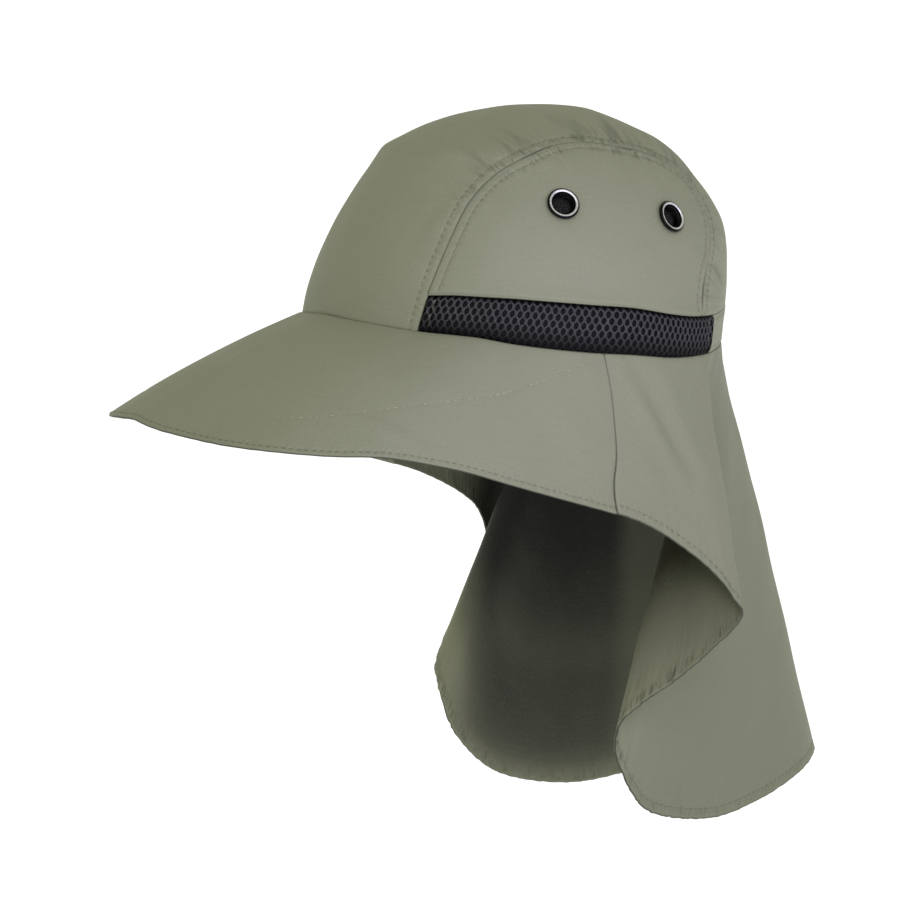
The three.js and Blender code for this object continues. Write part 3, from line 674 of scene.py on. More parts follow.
crown_face = crown_panel_face()
crown_seam = seam_line(SEAM_SHOWN, base_crossing, rear_crossing)
mirror = np.array([-1, 1, 1])
left_lift, left_away, left_marks = press_seam(crown_face, crown_seam, 11)
right_lift, right_away, right_marks = press_seam(crown_face, crown_seam * mirror, 12)
height = np.degrees(np.arcsin(np.clip(crown_face[..., 2] / CROWN_HEIGHT, -1, 1)))
stiff_edge = np.exp(-(((height - FRONT_EDGE_LEVEL) / 3.2) ** 2)) * np.clip(-crown_face[..., 1] / 0.06, 0, 1)
lift = left_lift + right_lift + crown_unevenness(crown_face) + 0.0009 * stiff_edge
nearer_left = left_away < right_away
seam_away = np.where(nearer_left, left_away, right_away)
crown_marks = {mark: np.where(nearer_left, left_marks[mark], right_marks[mark]) for mark in left_marks}
edge_rows = np.minimum(np.arange(CROWN_ROWS), np.arange(CROWN_ROWS)[::-1])[:, None] * 0.0016
crown_marks["edge_away"] = np.minimum(seam_away, edge_rows + 0.0003)
crown_marks["shade"] = np.ones_like(seam_away)
crown_face = crown_face + grid_normals(crown_face) * lift[..., None]
crown_cloth = cloth_piece(
    "crown_panel_cloth",
    crown_face,
    CROWN_CLOTH,
    flat_coordinates(crown_face),
    crown_marks,
    cloth_finishes,
)
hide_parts("crown_panel")


# Side panels: one curved piece of the same cloth over each ear, between the seam and the mesh
# band. Two eyelets are set in each, and the lower edge is folded under over the band.
PANEL_ROWS = 84
PANEL_COLUMNS = 132
PANEL_FRONT_CORNER = 5.2
PANEL_REAR_CORNER = 13.4
EYELET_HOLE = 0.0064
EYELETS = {"front": (74.5, 38), "rear": (110, 33)}


def side_panel_face():
    """The outer face of the left panel as a grid, from front to back and upwards."""
    along_places = closer_at_ends(np.linspace(-1, 1, PANEL_COLUMNS))
    up_places = closer_at_ends(np.linspace(-1, 1, PANEL_ROWS))

    def seam(low, high, places):
        at = np.linspace(low, high, 800)
        at = even_places(at, crown_point(*seam_place(at)), places)
        return to_plan(*seam_place(at))

    bottom_turns = np.linspace(seam_place(front_crossing)[0], seam_place(rear_crossing)[0], 800)
    bottom_line = crown_point(bottom_turns, level_of(band_top(bottom_turns)))
    bottom_turns = even_places(bottom_turns, bottom_line, along_places)
    bottom = to_plan(bottom_turns, level_of(band_top(bottom_turns)))[None]
    top = seam(PANEL_FRONT_CORNER, PANEL_REAR_CORNER, along_places)[None]
    front = seam(front_crossing, PANEL_FRONT_CORNER, up_places)[:, None]
    rear = seam(rear_crossing, PANEL_REAR_CORNER, up_places)[:, None]
    along = (0.5 + 0.5 * along_places)[None, :, None]
    up = (0.5 + 0.5 * up_places)[:, None, None]
    corners = (1 - along) * (1 - up) * bottom[:, :1] + along * (1 - up) * bottom[:, -1:]
    corners = corners + (1 - along) * up * top[:, :1] + along * up * top[:, -1:]
    return from_plan((1 - up) * bottom + up * top + (1 - along) * front + along * rear - corners)


# start and end (turn, level) of soft creases in a side panel, with width and height in metres
PANEL_CREASES = [
    ((98, 62), (108, 44), 0.0035, 0.0004),
    ((104, 62), (114, 46), 0.003, -0.0004),
    ((110, 60), (119, 42), 0.0035, 0.0004),
    ((55, 22), (60, 44), 0.006, 0.0004),
    ((88, 20), (100, 26), 0.006, 0.0004),
]

panel_line = seam_line(0.0, front_crossing, rear_crossing)
panel_plain = side_panel_face()
panel_lift, panel_away, panel_marks = press_seam(panel_plain, panel_line, 13)
panel_turns = np.linspace(seam_place(front_crossing)[0], seam_place(rear_crossing)[0], 600)
fold_line = crown_point(panel_turns, level_of(band_top(panel_turns)))
fold_away, fold_along = near_line(panel_plain, fold_line)
fold = 0.0011 * np.exp(-((fold_away / 0.0045) ** 2)) - 0.0008 * np.exp(-((fold_away / 0.0008) ** 2))
panel_lift = panel_lift + fold
panel_lift = add_creases(panel_lift, panel_plain, PANEL_CREASES, crown_point)
panel_lift = panel_lift + 0.00022 * soft_waves(panel_plain, 0.04, 5)
panel_keep = np.ones((PANEL_ROWS - 1, PANEL_COLUMNS - 1), bool)
ring_seats = []
for turn, level in EYELETS.values():
    middle = crown_point(turn, level)
    off = np.linalg.norm(panel_plain - middle, axis=-1)
    settled = np.clip((off - 0.008) / 0.006, 0, 1)
    panel_lift = panel_lift * settled - 0.00035 * np.exp(-((off - 0.0073) / 0.0022) ** 2) * (off < 0.02)
    inside = off < EYELET_HOLE
    lost = inside[:-1, :-1] | inside[1:, :-1] | inside[:-1, 1:] | inside[1:, 1:]
    panel_keep &= ~lost
    touched = np.zeros(off.shape, bool)
    touched[:-1, :-1] |= lost
    touched[1:, :-1] |= lost
    touched[:-1, 1:] |= lost
    touched[1:, 1:] |= lost
    ring_seats.append((middle, touched & ~inside))
panel_face = panel_plain + grid_normals(panel_plain) * panel_lift[..., None]
for middle, rim in ring_seats:
    reach = panel_face[rim] - middle
    panel_face[rim] = middle + reach * (EYELET_HOLE / np.linalg.norm(reach, axis=1, keepdims=True))
panel_marks["edge_away"] = np.minimum(panel_away, fold_away + 0.0005)
panel_marks["shade"] = np.ones_like(panel_away)
panel_marks["gather"] = 0.7 * panel_marks["gather"]
panel_marks["streak"] = 0.25 * panel_marks["streak"] * ease(panel_away, 0.022, 0.006)
side_cloth = {}
for side, sign in (("left", 1), ("right", -1)):
    turned = slice(None, None, sign)
    face = (panel_face * np.array([sign, 1, 1]))[:, turned]
    side_cloth[side] = cloth_piece(
        f"side_panel_{side}_cloth",
        face,
        CROWN_CLOTH,
        flat_coordinates(face),
        {mark: values[:, turned] for mark, values in panel_marks.items()},
        cloth_finishes,
        panel_keep[:, turned],
    )
    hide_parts(f"side_panel_{side}")

# Thread of the topstitching: short tone-on-tone stitches that dive into the cloth at both ends.
STITCH_LENGTH = 0.0029
STITCH_WIDTH = 0.0003
STITCH_SIDES = 6
STITCH_RINGS = 6


def surface_of(piece):
    mesh = piece.data
    return BVHTree.FromPolygons(
        [corner.co for corner in mesh.vertices], [tuple(face.vertices) for face in mesh.polygons]
    )


def stitch_piece(name, rows, finish, pitch=STITCH_PITCH, length=STITCH_LENGTH, width=STITCH_WIDTH):
    """One piece from rows of stitches. A row is a line of points and the surface it lies on."""
    shares = np.linspace(0, 1, STITCH_RINGS)
    arch = np.sin(math.pi * shares) ** 0.5
    angles = 2 * math.pi * np.arange(STITCH_SIDES) / STITCH_SIDES
    corners = []
    for line, surface in rows:
        travelled = lengths_along(line)
        for start in np.arange(pitch / 2, travelled[-1] - length, pitch):
            places = start + length * shares
            points = np.stack([np.interp(places, travelled, line[:, axis]) for axis in range(3)], axis=1)
            hits = [surface.find_nearest(Vector(point)) for point in points]
            middles = np.array([hit[0] for hit in hits])
            run = middles[-1] - middles[0]
            run /= np.linalg.norm(run)
            normal = np.mean([hit[1] for hit in hits], axis=0)
            normal -= (normal @ run) * run
            normal /= np.linalg.norm(normal)
            aside = np.cross(normal, run)
            thick = width / 2 * (0.55 + 0.45 * arch)
            centre = middles + normal * (width * (0.55 * arch - 0.45))[:, None]
            spread = np.cos(angles)[:, None] * aside + 0.8 * np.sin(angles)[:, None] * normal
            corners.append(centre[:, None] + thick[:, None, None] * spread)
    count = len(corners)
    ring = np.arange(STITCH_RINGS * STITCH_SIDES).reshape(STITCH_RINGS, STITCH_SIDES)
    turned = np.roll(ring, -1, axis=1)
    tube = np.stack([ring[:-1], turned[:-1], turned[1:], ring[1:]], axis=-1).reshape(-1, 4)
    ends = np.stack([ring[0, ::-1], ring[-1]])
    offsets = (np.arange(count) * ring.size)[:, None, None]
    sunk = np.tile(np.repeat(1 - arch, STITCH_SIDES), count)
    return piece_from(
        name,
        np.array(corners).reshape(-1, 3),
        [(tube + offsets).reshape(-1, 4), (ends + offsets).reshape(-1, STITCH_SIDES)],
        marks={"sunk": sunk},
        finishes=(finish,),
    )


def thread_finish(name, colour, sunk_shade=0.15):
    """Twisted polyester thread, with painted shade where it dives into the cloth."""
    material, tree, shader = new_material(name)
    place = node(tree, "ShaderNodeTexCoord").outputs["Object"]
    ply = node(tree, "ShaderNodeTexNoise", {"Vector": place, "Scale": 2600, "Detail": 1})
    dark = tuple(0.45 * part for part in colour[:3]) + (1,)
    twist = mix_colours(tree, ramp(tree, ply.outputs[0], 0.35, 0.65), colour, dark)
    # Painted shade: the thread darkens towards both ends, where it dives into the cloth.
    hidden = ramp(tree, mark_value(tree, "sunk"), 0.2, 0.9)
    deep = tuple(sunk_shade * part for part in colour[:3]) + (1,)
    tree.links.new(mix_colours(tree, hidden, twist, deep), shader.inputs["Base Color"])
    bump = node(tree, "ShaderNodeBump", {"Strength": 0.6, "Distance": 0.0001, "Height": ply.outputs[0]})
    tree.links.new(bump.outputs[0], shader.inputs["Normal"])
    shader.inputs["Roughness"].default_value = 0.6
    shader.inputs["Specular IOR Level"].default_value = 0.35
    return material


def line_beside(line, normals, offset):
    """A line moved sideways over the surface it lies on."""
    run = np.gradient(line, axis=0)
    aside = np.cross(normals, run)
    return line + aside / np.linalg.norm(aside, axis=1, keepdims=True) * offset


olive_thread = thread_finish("olive_thread", (0.17, 0.175, 0.125, 1))
hem_thread = thread_finish("hem_thread", (0.17, 0.175, 0.125, 1), 0.8)


def seam_row(grow, low, high, offset):
    at = np.linspace(low, high, 900)
    turn, level = seam_place(at, grow)
    return line_beside(crown_point(turn, level), crown_normal(turn, level), offset)


crown_row = seam_row(SEAM_GAP, base_crossing + 0.05, rear_crossing - 0.05, ROW_OFF_SEAM)
crown_surface = surface_of(crown_cloth)
crown_stitches = stitch_piece(
    "crown_topstitch",
    [(crown_row, crown_surface), (crown_row * mirror, crown_surface)],
    olive_thread,
)
panel_row = seam_row(0.0, front_crossing + 0.12, rear_crossing - 0.12, -ROW_OFF_SEAM)
for side, sign in (("left", 1), ("right", -1)):
    panel_stitches = stitch_piece(
        f"side_panel_{side}_topstitch",
        [(panel_row * np.array([sign, 1, 1]), surface_of(side_cloth[side]))],
        olive_thread,
    )


# Eyelets: pressed brass rings, lacquered black. The pale band on the inner slope of the rim is a
# painted reflection, coloured as bright metal. A patch of black net is caught behind each one, so
# that air gets in and insects don't.
EYELET_FLANGE = 0.0073
EYELET_BORE = 0.0053
EYELET_THROAT = 0.0046
EYELET_RISE = 0.0011
EYELET_WALL = 0.0008
EYELET_SEAT = 0.0027
EYELET_SEGMENTS = 72
NET_PITCH = 0.0017
NET_ROW = 0.00145
NET_HOLE_WIDTH = 0.0009
NET_HOLE_HEIGHT = 0.001
NET_DEPTH = 0.0004
NET_PATCH = 0.012
NET_MIDDLE = 0.0062
NET_REACH = 0.0056
NET_BULGE = 0.002
NET_SINK = 0.0038


def eyelet_axes(turn, level, sign):
    place = crown_point(turn, level) * np.array([sign, 1, 1])
    outward = crown_normal(turn, level) * np.array([sign, 1, 1])
    aside = np.cross([0, 0, 1], outward)
    aside /= np.linalg.norm(aside)
    return place, aside, np.cross(outward, aside), outward


def ring_profile():
    """Radius, height and painted reflection round the section of the rolled ring and its throat."""
    crest = (EYELET_BORE + EYELET_FLANGE) / 2
    half = (EYELET_FLANGE - EYELET_BORE) / 2
    inside = SEAM_GAP - EYELET_SEAT
    rows = []
    for angle in np.radians(np.linspace(0, 180, 25)):
        # Painted reflection on the inner slope of the rolled rim.
        painted_reflection = 1.0 if 78 < math.degrees(angle) < 140 else 0.0
        rows.append((
            crest + half * math.cos(angle),
            SEAM_GAP + EYELET_RISE * math.sin(angle) ** 0.75,
            painted_reflection,
        ))
    rows += [
        (EYELET_THROAT + 0.2 * EYELET_WALL, SEAM_GAP - 0.5 * EYELET_WALL, 0),
        (EYELET_THROAT, SEAM_GAP - EYELET_WALL, 0),
        (EYELET_THROAT, inside - 0.5 * EYELET_WALL, 0),
        (EYELET_THROAT + 0.3 * EYELET_WALL, inside - EYELET_WALL, 0),
        (EYELET_FLANGE - 0.3 * EYELET_WALL, inside - EYELET_WALL, 0),
        (EYELET_FLANGE, inside - 0.6 * EYELET_WALL, 0),
        (EYELET_FLANGE - 0.1 * EYELET_WALL, inside, 0),
        (EYELET_BORE + EYELET_WALL, inside, 0),
        (EYELET_BORE + EYELET_WALL, SEAM_GAP, 0),
    ]
    return np.array(rows)


def net_cells(centres, pitch, row, hole_width, hole_height, depth):
    """Knitted net as welded six-sided cells, each round an oval hole. Returns flat corners with
    their heights, and faces."""
    flank = (row**2 - pitch**2 / 4) / (2 * row)
    tip = (row**2 + pitch**2 / 4) / (2 * row)
    hexagon = np.array([
        (pitch / 2, -flank), (pitch / 2, flank), (0, tip),
        (-pitch / 2, flank), (-pitch / 2, -flank), (0, -tip),
    ])
    outline = np.stack([hexagon, (hexagon + np.roll(hexagon, -1, axis=0)) / 2], axis=1).reshape(-1, 2)
    angles = np.arctan2(outline[:, 1] / hole_height, outline[:, 0] / hole_width)
    hole = np.stack([np.cos(angles) * hole_width / 2, np.sin(angles) * hole_height / 2], axis=1)
    layers = [
        (outline, 0.0),
        (outline * 0.55 + hole * 0.45, -0.12),
        (outline * 0.12 + hole * 0.88, -0.42),
        (hole * 0.97, -1.0),
    ]
    flat = np.concatenate([layer for layer, _ in layers])
    drop = np.concatenate([np.full(len(outline), height) for _, height in layers]) * depth
    sides = len(outline)
    ring = np.arange(len(flat)).reshape(len(layers), sides)
    turned = np.roll(ring, -1, axis=1)
    quads = np.stack([ring[:-1], turned[:-1], turned[1:], ring[1:]], axis=-1).reshape(-1, 4)
    corners = (centres[:, None] + flat[None]).reshape(-1, 2)
    drops = np.tile(drop, len(centres))
    faces = (quads[None] + (np.arange(len(centres)) * len(flat))[:, None, None]).reshape(-1, 4)
    keys = np.round(np.column_stack([corners, drops]) / 1e-6).astype(np.int64)
    _, first, welded = np.unique(keys, axis=0, return_index=True, return_inverse=True)
    return corners[first], drops[first], welded.reshape(-1)[faces]


def staggered(width, height, pitch, row):
    """Centres of staggered cells over a rectangle that starts at 0, 0."""
    rows = np.arange(-1, int(height / row) + 2)
    columns = np.arange(-1, int(width / pitch) + 2)
    x = (columns[None] + 0.5 * (rows[:, None] % 2)) * pitch
    y = np.repeat(rows[:, None] * row, len(columns), axis=1)
    return np.stack([x, y], axis=-1).reshape(-1, 2)


def clean_faces(corners, faces):
    """Leaves out faces that clamping has flattened."""
    points = corners[faces]
    area = np.linalg.norm(np.cross(points[:, 2] - points[:, 0], points[:, 3] - points[:, 1]), axis=1)
    return faces[area > 1e-9]


def ring_finish():
    """Black lacquer over pressed metal, with a painted reflection: the slope that faces the hole is
    coloured as bright metal.
    """
    material, tree, shader = new_material("black_lacquered_ring")
    place = node(tree, "ShaderNodeTexCoord").outputs["Object"]
    scuffs = node(tree, "ShaderNodeTexNoise", {"Vector": place, "Scale": 900, "Detail": 4})
    # Painted reflection: a band of the black rim is coloured as bright grey metal.
    reflection_mask = ramp(tree, mark_value(tree, "painted_reflection"), 0.45, 0.55)
    worn = ramp(tree, scuffs.outputs[0], 0.3, 0.75)
    lacquer = mix_colours(tree, worn, (0.002, 0.002, 0.002, 1), (0.005, 0.005, 0.006, 1))
    metal = mix_colours(tree, worn, (0.5, 0.49, 0.54, 1), (0.72, 0.71, 0.77, 1))
    tree.links.new(mix_colours(tree, reflection_mask, lacquer, metal), shader.inputs["Base Color"])
    tree.links.new(reflection_mask, shader.inputs["Metallic"])
    tree.links.new(ramp(tree, scuffs.outputs[0], 0.25, 0.8, 0.25, 0.45), shader.inputs["Roughness"])
    shader.inputs["Specular IOR Level"].default_value = 0.08
    bump = node(tree, "ShaderNodeBump", {"Strength": 0.15, "Distance": 0.0001, "Height": scuffs.outputs[0]})
    tree.links.new(bump.outputs[0], shader.inputs["Normal"])
    return material


def net_finish(name, light, dark):
    """Knitted polyester: strands of fine glossy threads, with painted shade down inside the holes."""
    material, tree, shader = new_material(name)
    place = node(tree, "ShaderNodeTexCoord").outputs["Object"]
    fibres = node(tree, "ShaderNodeTexNoise", {"Vector": place, "Scale": 1700, "Detail": 2})
    tone = ramp(tree, fibres.outputs[0], 0.32, 0.68)
    strand = mix_colours(tree, tone, dark, light)
    # Painted shade: the strands darken to near black down inside the holes.
    hole = ramp(tree, mark_value(tree, "depth"), 0.15, 0.6)
    tree.links.new(mix_colours(tree, hole, strand, (0.002, 0.002, 0.003, 1)), shader.inputs["Base Color"])
    tree.links.new(ramp(tree, fibres.outputs[0], 0.3, 0.7, 0.45, 0.7), shader.inputs["Roughness"])
    bump = node(tree, "ShaderNodeBump", {"Strength": 0.8, "Distance": 0.00015, "Height": fibres.outputs[0]})
    tree.links.new(bump.outputs[0], shader.inputs["Normal"])
    shader.inputs["Specular IOR Level"].default_value = 0.08
    return material


black_ring = ring_finish()
eyelet_net = net_finish("black_net", (0.03, 0.03, 0.032, 1), (0.006, 0.006, 0.007, 1))
profile = ring_profile()
ring_turns = 2 * math.pi * np.arange(EYELET_SEGMENTS) / EYELET_SEGMENTS
net_centres = staggered(NET_PATCH, NET_PATCH, NET_PITCH, NET_ROW) - NET_MIDDLE
net_centres = net_centres[np.linalg.norm(net_centres, axis=1) < NET_REACH]
net_flat, net_drop, net_faces = net_cells(
    net_centres, NET_PITCH, NET_ROW, NET_HOLE_WIDTH, NET_HOLE_HEIGHT, NET_DEPTH
)
for side, sign in (("left", 1), ("right", -1)):
    for which, (turn, level) in EYELETS.items():
        place, aside, upward, outward = eyelet_axes(turn, level, sign)
        round_axis = np.cos(ring_turns)[:, None] * aside + np.sin(ring_turns)[:, None] * upward
        corners = place + profile[:, 0][:, None, None] * round_axis + profile[:, 1][:, None, None] * outward
        ring = np.arange(len(profile) * EYELET_SEGMENTS).reshape(len(profile), EYELET_SEGMENTS)
        turned = np.roll(ring, -1, axis=1)
        above = np.roll(ring, -1, axis=0)
        above_turned = np.roll(turned, -1, axis=0)
        quads = np.stack([ring, turned, above_turned, above], axis=-1).reshape(-1, 4)
        eyelet = piece_from(
            f"eyelet_{side}_{which}_ring",
            corners.reshape(-1, 3),
            [quads],
            marks={"painted_reflection": np.repeat(profile[:, 2], EYELET_SEGMENTS)},
            finishes=(black_ring,),
        )
        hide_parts(f"eyelet_{side}_{which}")
        reach = np.linalg.norm(net_flat, axis=1)
        bent = NET_BULGE * np.clip(1 - (reach / EYELET_BORE) ** 2, -0.3, 1)
        inward = np.minimum(1, (EYELET_FLANGE - 0.0006) / np.maximum(reach, 1e-9))
        drawn_in = net_flat * inward[:, None]
        net = place + drawn_in[:, :1] * aside + drawn_in[:, 1:] * upward
        net = net + (net_drop + bent - NET_SINK)[:, None] * outward
        disc = piece_from(
            f"eyelet_{side}_{which}_net",
            net,
            [clean_faces(net, net_faces)],
            marks={"depth": -net_drop / NET_DEPTH},
            finishes=(eyelet_net,),
        )
        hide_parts(f"eyelet_mesh_{side}_{which}")


# Mesh bands: a strip of thick knitted spacer fabric over each ear, with staggered oval holes
# through its face to a dark inner layer. It is padded, swells between its seams, rolls under
# at the bottom, and is sewn down by a row of pale stitches near each end.
REAR_BAND_TURN = 131.5
BAND_SWELL = 0.0019
BAND_DEPTH = 0.0034
BAND_PITCH = 0.00345
BAND_ROW = 0.0029
BAND_KNIT_DEPTH = 0.0008
BAND_HOLE_WIDTH = 0.0017
BAND_HOLE_HEIGHT = 0.0031
BAND_END_ROW = 0.0037
BACKING_DROP = 0.00065
BACKING_COLUMNS = 150
BACKING_ROWS = 18

front_places = np.linspace(0, 5, 400)
front_turns, front_levels = seam_place(front_places)
front_heights = CROWN_HEIGHT * np.sin(np.radians(front_levels))
DEGREE_AT_FRONT = np.linalg.norm(crown_point(40.5, 0) - crown_point(39.5, 0))
DEGREE_AT_REAR = np.linalg.norm(crown_point(REAR_BAND_TURN + 0.5, 0) - crown_point(REAR_BAND_TURN - 0.5, 0))


def band_front(height):
    """The turn at which a band starts, on the slant of the side seam."""
    return np.interp(height, front_heights, front_turns) + SEAM_GAP / DEGREE_AT_FRONT


def band_place(share, up):
    """Turn and level of a place in the left band: share from front to back, up from seam to top."""
    turn = band_front(0 * share) * (1 - share) + REAR_BAND_TURN * share
    for _ in range(4):
        low = base_height(turn)
        height = low + (band_top(turn) - SEAM_GAP - low) * up
        turn = band_front(height) * (1 - share) + REAR_BAND_TURN * share
    return turn, level_of(height)


band_middle = crown_point(*band_place(np.linspace(0, 1, 400), np.full(400, 0.5)))
BAND_LENGTH = lengths_along(band_middle)[-1]


def band_height_at(share):
    turn, _ = band_place(share, 0.5 * np.ones_like(share))
    return band_top(turn) - SEAM_GAP - base_height(turn)


def band_swell(share, up):
    """How far the band's face stands off the crown."""
    from_end = np.minimum(share, 1 - share) * BAND_LENGTH
    full = 0.35 + 0.65 * np.clip((from_end - BAND_END_ROW * 0.6) / 0.007, 0, 1)
    sewn = 0.0007 * np.exp(-(((from_end - BAND_END_ROW) / 0.0012) ** 2))
    body = np.clip(np.sin(math.pi * np.clip(up, 0, 1) ** 0.8), 0, 1) ** 0.55
    tuck = 0.0006 * np.exp(-((up / 0.07) ** 2)) + 0.0009 * np.exp(-(((1 - up) / 0.06) ** 2))
    return BAND_SWELL * body * full - sewn - tuck


def band_layer(share, up, stand):
    turn, level = band_place(share, up)
    return crown_point(turn, level) + crown_normal(turn, level) * np.asarray(stand)[..., None]


knit_centres = staggered(BAND_LENGTH, BAND_HEIGHT, BAND_PITCH, BAND_ROW)
knit_flat, knit_drop, knit_faces = net_cells(
    knit_centres, BAND_PITCH, BAND_ROW, BAND_HOLE_WIDTH, BAND_HOLE_HEIGHT, BAND_KNIT_DEPTH
)
knit_share = np.clip(knit_flat[:, 0] / BAND_LENGTH, 0, 1)
knit_up = np.clip(1 - (knit_flat[:, 1] + 0.0006) / band_height_at(knit_share), 0, 1)
knit = band_layer(knit_share, knit_up, band_swell(knit_share, knit_up) + knit_drop)
knit_faces = clean_faces(knit, knit_faces)
rolled = np.clip((0.46 - knit_up) / 0.38, 0, 1)
top_away = (1 - knit_up) * band_height_at(knit_share)
rolled = np.maximum(rolled, np.clip(1.4 - top_away / 0.0011, 0, 1))
end_away = np.minimum(knit_share, 1 - knit_share) * BAND_LENGTH
knit_marks = {
    "depth": -knit_drop / BAND_KNIT_DEPTH,
    "rolled": np.maximum(rolled, np.clip(1.3 - end_away / 0.0012, 0, 1)),
}

backing_share = np.repeat(np.linspace(0, 1, BACKING_COLUMNS)[None], BACKING_ROWS, axis=0)
backing_up = np.repeat(np.linspace(0, 1, BACKING_ROWS)[:, None], BACKING_COLUMNS, axis=1)
backing = band_layer(backing_share, backing_up, band_swell(backing_share, backing_up) - BACKING_DROP)


def knit_band_finish():
    """Dark grey spacer knit. The part that rolls under the edges, the sewn-down ends and the holes are
    darkened to near black as painted shade.
    """
    material, tree, shader = new_material("dark_spacer_knit")
    place = node(tree, "ShaderNodeTexCoord").outputs["Object"]
    fibres = node(tree, "ShaderNodeTexNoise", {"Vector": place, "Scale": 1500, "Detail": 2})
    tone = ramp(tree, fibres.outputs[0], 0.3, 0.7)
    strand = mix_colours(tree, tone, (0.024, 0.023, 0.028, 1), (0.06, 0.057, 0.069, 1))
    # Painted shade where the knit rolls under at its edges and at its ends.
    edge = mix_colours(tree, mark_value(tree, "rolled"), strand, (0.004, 0.004, 0.005, 1))
    # Painted shade down inside the holes.
    hole = ramp(tree, mark_value(tree, "depth"), 0.15, 0.6)
    tree.links.new(mix_colours(tree, hole, edge, (0.002, 0.002, 0.003, 1)), shader.inputs["Base Color"])
    tree.links.new(ramp(tree, fibres.outputs[0], 0.3, 0.7, 0.5, 0.75), shader.inputs["Roughness"])
    bump = node(tree, "ShaderNodeBump", {"Strength": 0.8, "Distance": 0.00015, "Height": fibres.outputs[0]})
    tree.links.new(bump.outputs[0], shader.inputs["Normal"])
    shader.inputs["Specular IOR Level"].default_value = 0.12
    return material


knit_grey = knit_band_finish()
knit_black = net_finish("black_inner_knit", (0.004, 0.004, 0.005, 1), (0.002, 0.002, 0.003, 1))
pale_thread = thread_finish("pale_thread", (0.42, 0.4, 0.3, 1))
for side, sign in (("left", 1), ("right", -1)):
    flip = np.array([sign, 1, 1])
    face = piece_from(
        f"mesh_band_{side}_knit",
        knit * flip,
        [knit_faces[:, ::-sign]],
        marks=knit_marks,
        finishes=(knit_grey,),
    )
    inner = cloth_piece(
        f"mesh_band_{side}_backing",
        (backing * flip)[:, ::sign],
        BAND_DEPTH - BACKING_DROP,
        flat_coordinates(backing),
        {"depth": np.zeros(backing.shape[:2])},
        (knit_black, knit_black),
    )
    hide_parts(f"mesh_band_{side}")
    ends = []
    surface = surface_of(face)
    for share in (BAND_END_ROW / BAND_LENGTH, 1 - BAND_END_ROW / BAND_LENGTH):
        rise = np.linspace(0.06, 0.97, 60)
        beside_end = np.full(len(rise), share)
        line = band_layer(beside_end, rise, band_swell(beside_end, rise))
        ends.append((line * flip, surface))
    sewn = stitch_piece(f"mesh_band_{side}_end_stitches", ends, pale_thread, pitch=0.0034, length=0.0026)


# Rear band: a strip of the olive cloth round the back of the head, between the two mesh bands,
# topstitched along both edges.
REAR_COLUMNS = 170
REAR_ROWS = 16
REAR_BAND_CLOTH = 0.0016
REAR_ROW_IN = 0.0024


def travelled_up(face):
    """How far up each column of a grid each of its points lies."""
    steps = np.linalg.norm(np.diff(face, axis=0), axis=2)
    return np.concatenate([np.zeros((1, face.shape[1])), np.cumsum(steps, axis=0)])


rear_start = REAR_BAND_TURN + SEAM_GAP / DEGREE_AT_REAR
rear_turns = np.linspace(rear_start, 360 - rear_start, REAR_COLUMNS)
rear_share = np.linspace(0, 1, REAR_ROWS)[:, None]
rear_low = base_height(rear_turns)
rear_heights = rear_low + (band_top(rear_turns) - SEAM_GAP - rear_low) * rear_share
rear_plain = crown_point(np.repeat(rear_turns[None], REAR_ROWS, axis=0), level_of(rear_heights))
rear_up = travelled_up(rear_plain)
rear_edge = np.minimum(rear_up, rear_up[-1] - rear_up)
rear_along = np.repeat(lengths_along(rear_plain[REAR_ROWS // 2])[None], REAR_ROWS, axis=0)
rear_lift = 0.0002 * puckers(rear_along, rear_edge, 0.009, 0.006, 21)
rear_lift -= 0.0003 * np.exp(-((rear_edge / 0.0006) ** 2))
rear_lift -= 0.0001 * np.exp(-(((rear_edge - REAR_ROW_IN) / 0.0008) ** 2))
rear_face = rear_plain + grid_normals(rear_plain) * rear_lift[..., None]
rear_band = cloth_piece(
    "rear_band_cloth",
    rear_face,
    REAR_BAND_CLOTH,
    flat_coordinates(rear_face),
    {
        "edge_away": rear_edge,
        "row_along": rear_along,
        "row_away": rear_edge - REAR_ROW_IN,
        "shade": np.ones_like(rear_edge),
    },
    cloth_finishes,
)
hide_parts("rear_band")


def grid_line(face, travelled, at):
    """The line across a grid where a travelled length up each column reaches a value."""
    line = []
    for column, wanted in enumerate(np.broadcast_to(at, face.shape[1])):
        line.append([np.interp(wanted, travelled[:, column], face[:, column, axis]) for axis in range(3)])
    return np.array(line)


rear_surface = surface_of(rear_band)
rear_rows = [
    (grid_line(rear_face, rear_up, REAR_ROW_IN), rear_surface),
    (grid_line(rear_face, rear_up, rear_up[-1].mean() - REAR_ROW_IN), rear_surface),
]
rear_stitches = stitch_piece("rear_band_topstitch", rear_rows, hem_thread)


# Brim: two plies of the olive cloth over a soft stiffener, turned out and topstitched close to
# the edge. A second row of paler stitches runs slantwise over it from the ear, where the
# stiffener stops. Brim and cape follow one line of stations, and meet in a seam at the ear.
BRIM_LENGTH = 0.092
BRIM_SPREAD = 0.05
BRIM_DROP = 0.069
BRIM_THICKNESS = 0.0016
CAPE_LENGTH = 0.208
CAPE_FLARE = 0.068
CAPE_CLOTH = 0.0012
BRIM_COLUMNS = 300
BRIM_ROWS = 70
BRIM_ROW_IN = 0.0022
ROOT_TUCK = 0.0002
SKIRT_SWELL = 0.005

# share of the way down, and how far the seam over the ear lies from its station, in stations
EAR_SEAM = [
    (0, 0.14), (0.22, 0.14), (0.41, 0.08), (0.62, -0.02), (0.79, -0.17), (0.9, -0.21), (1, -0.2),
]

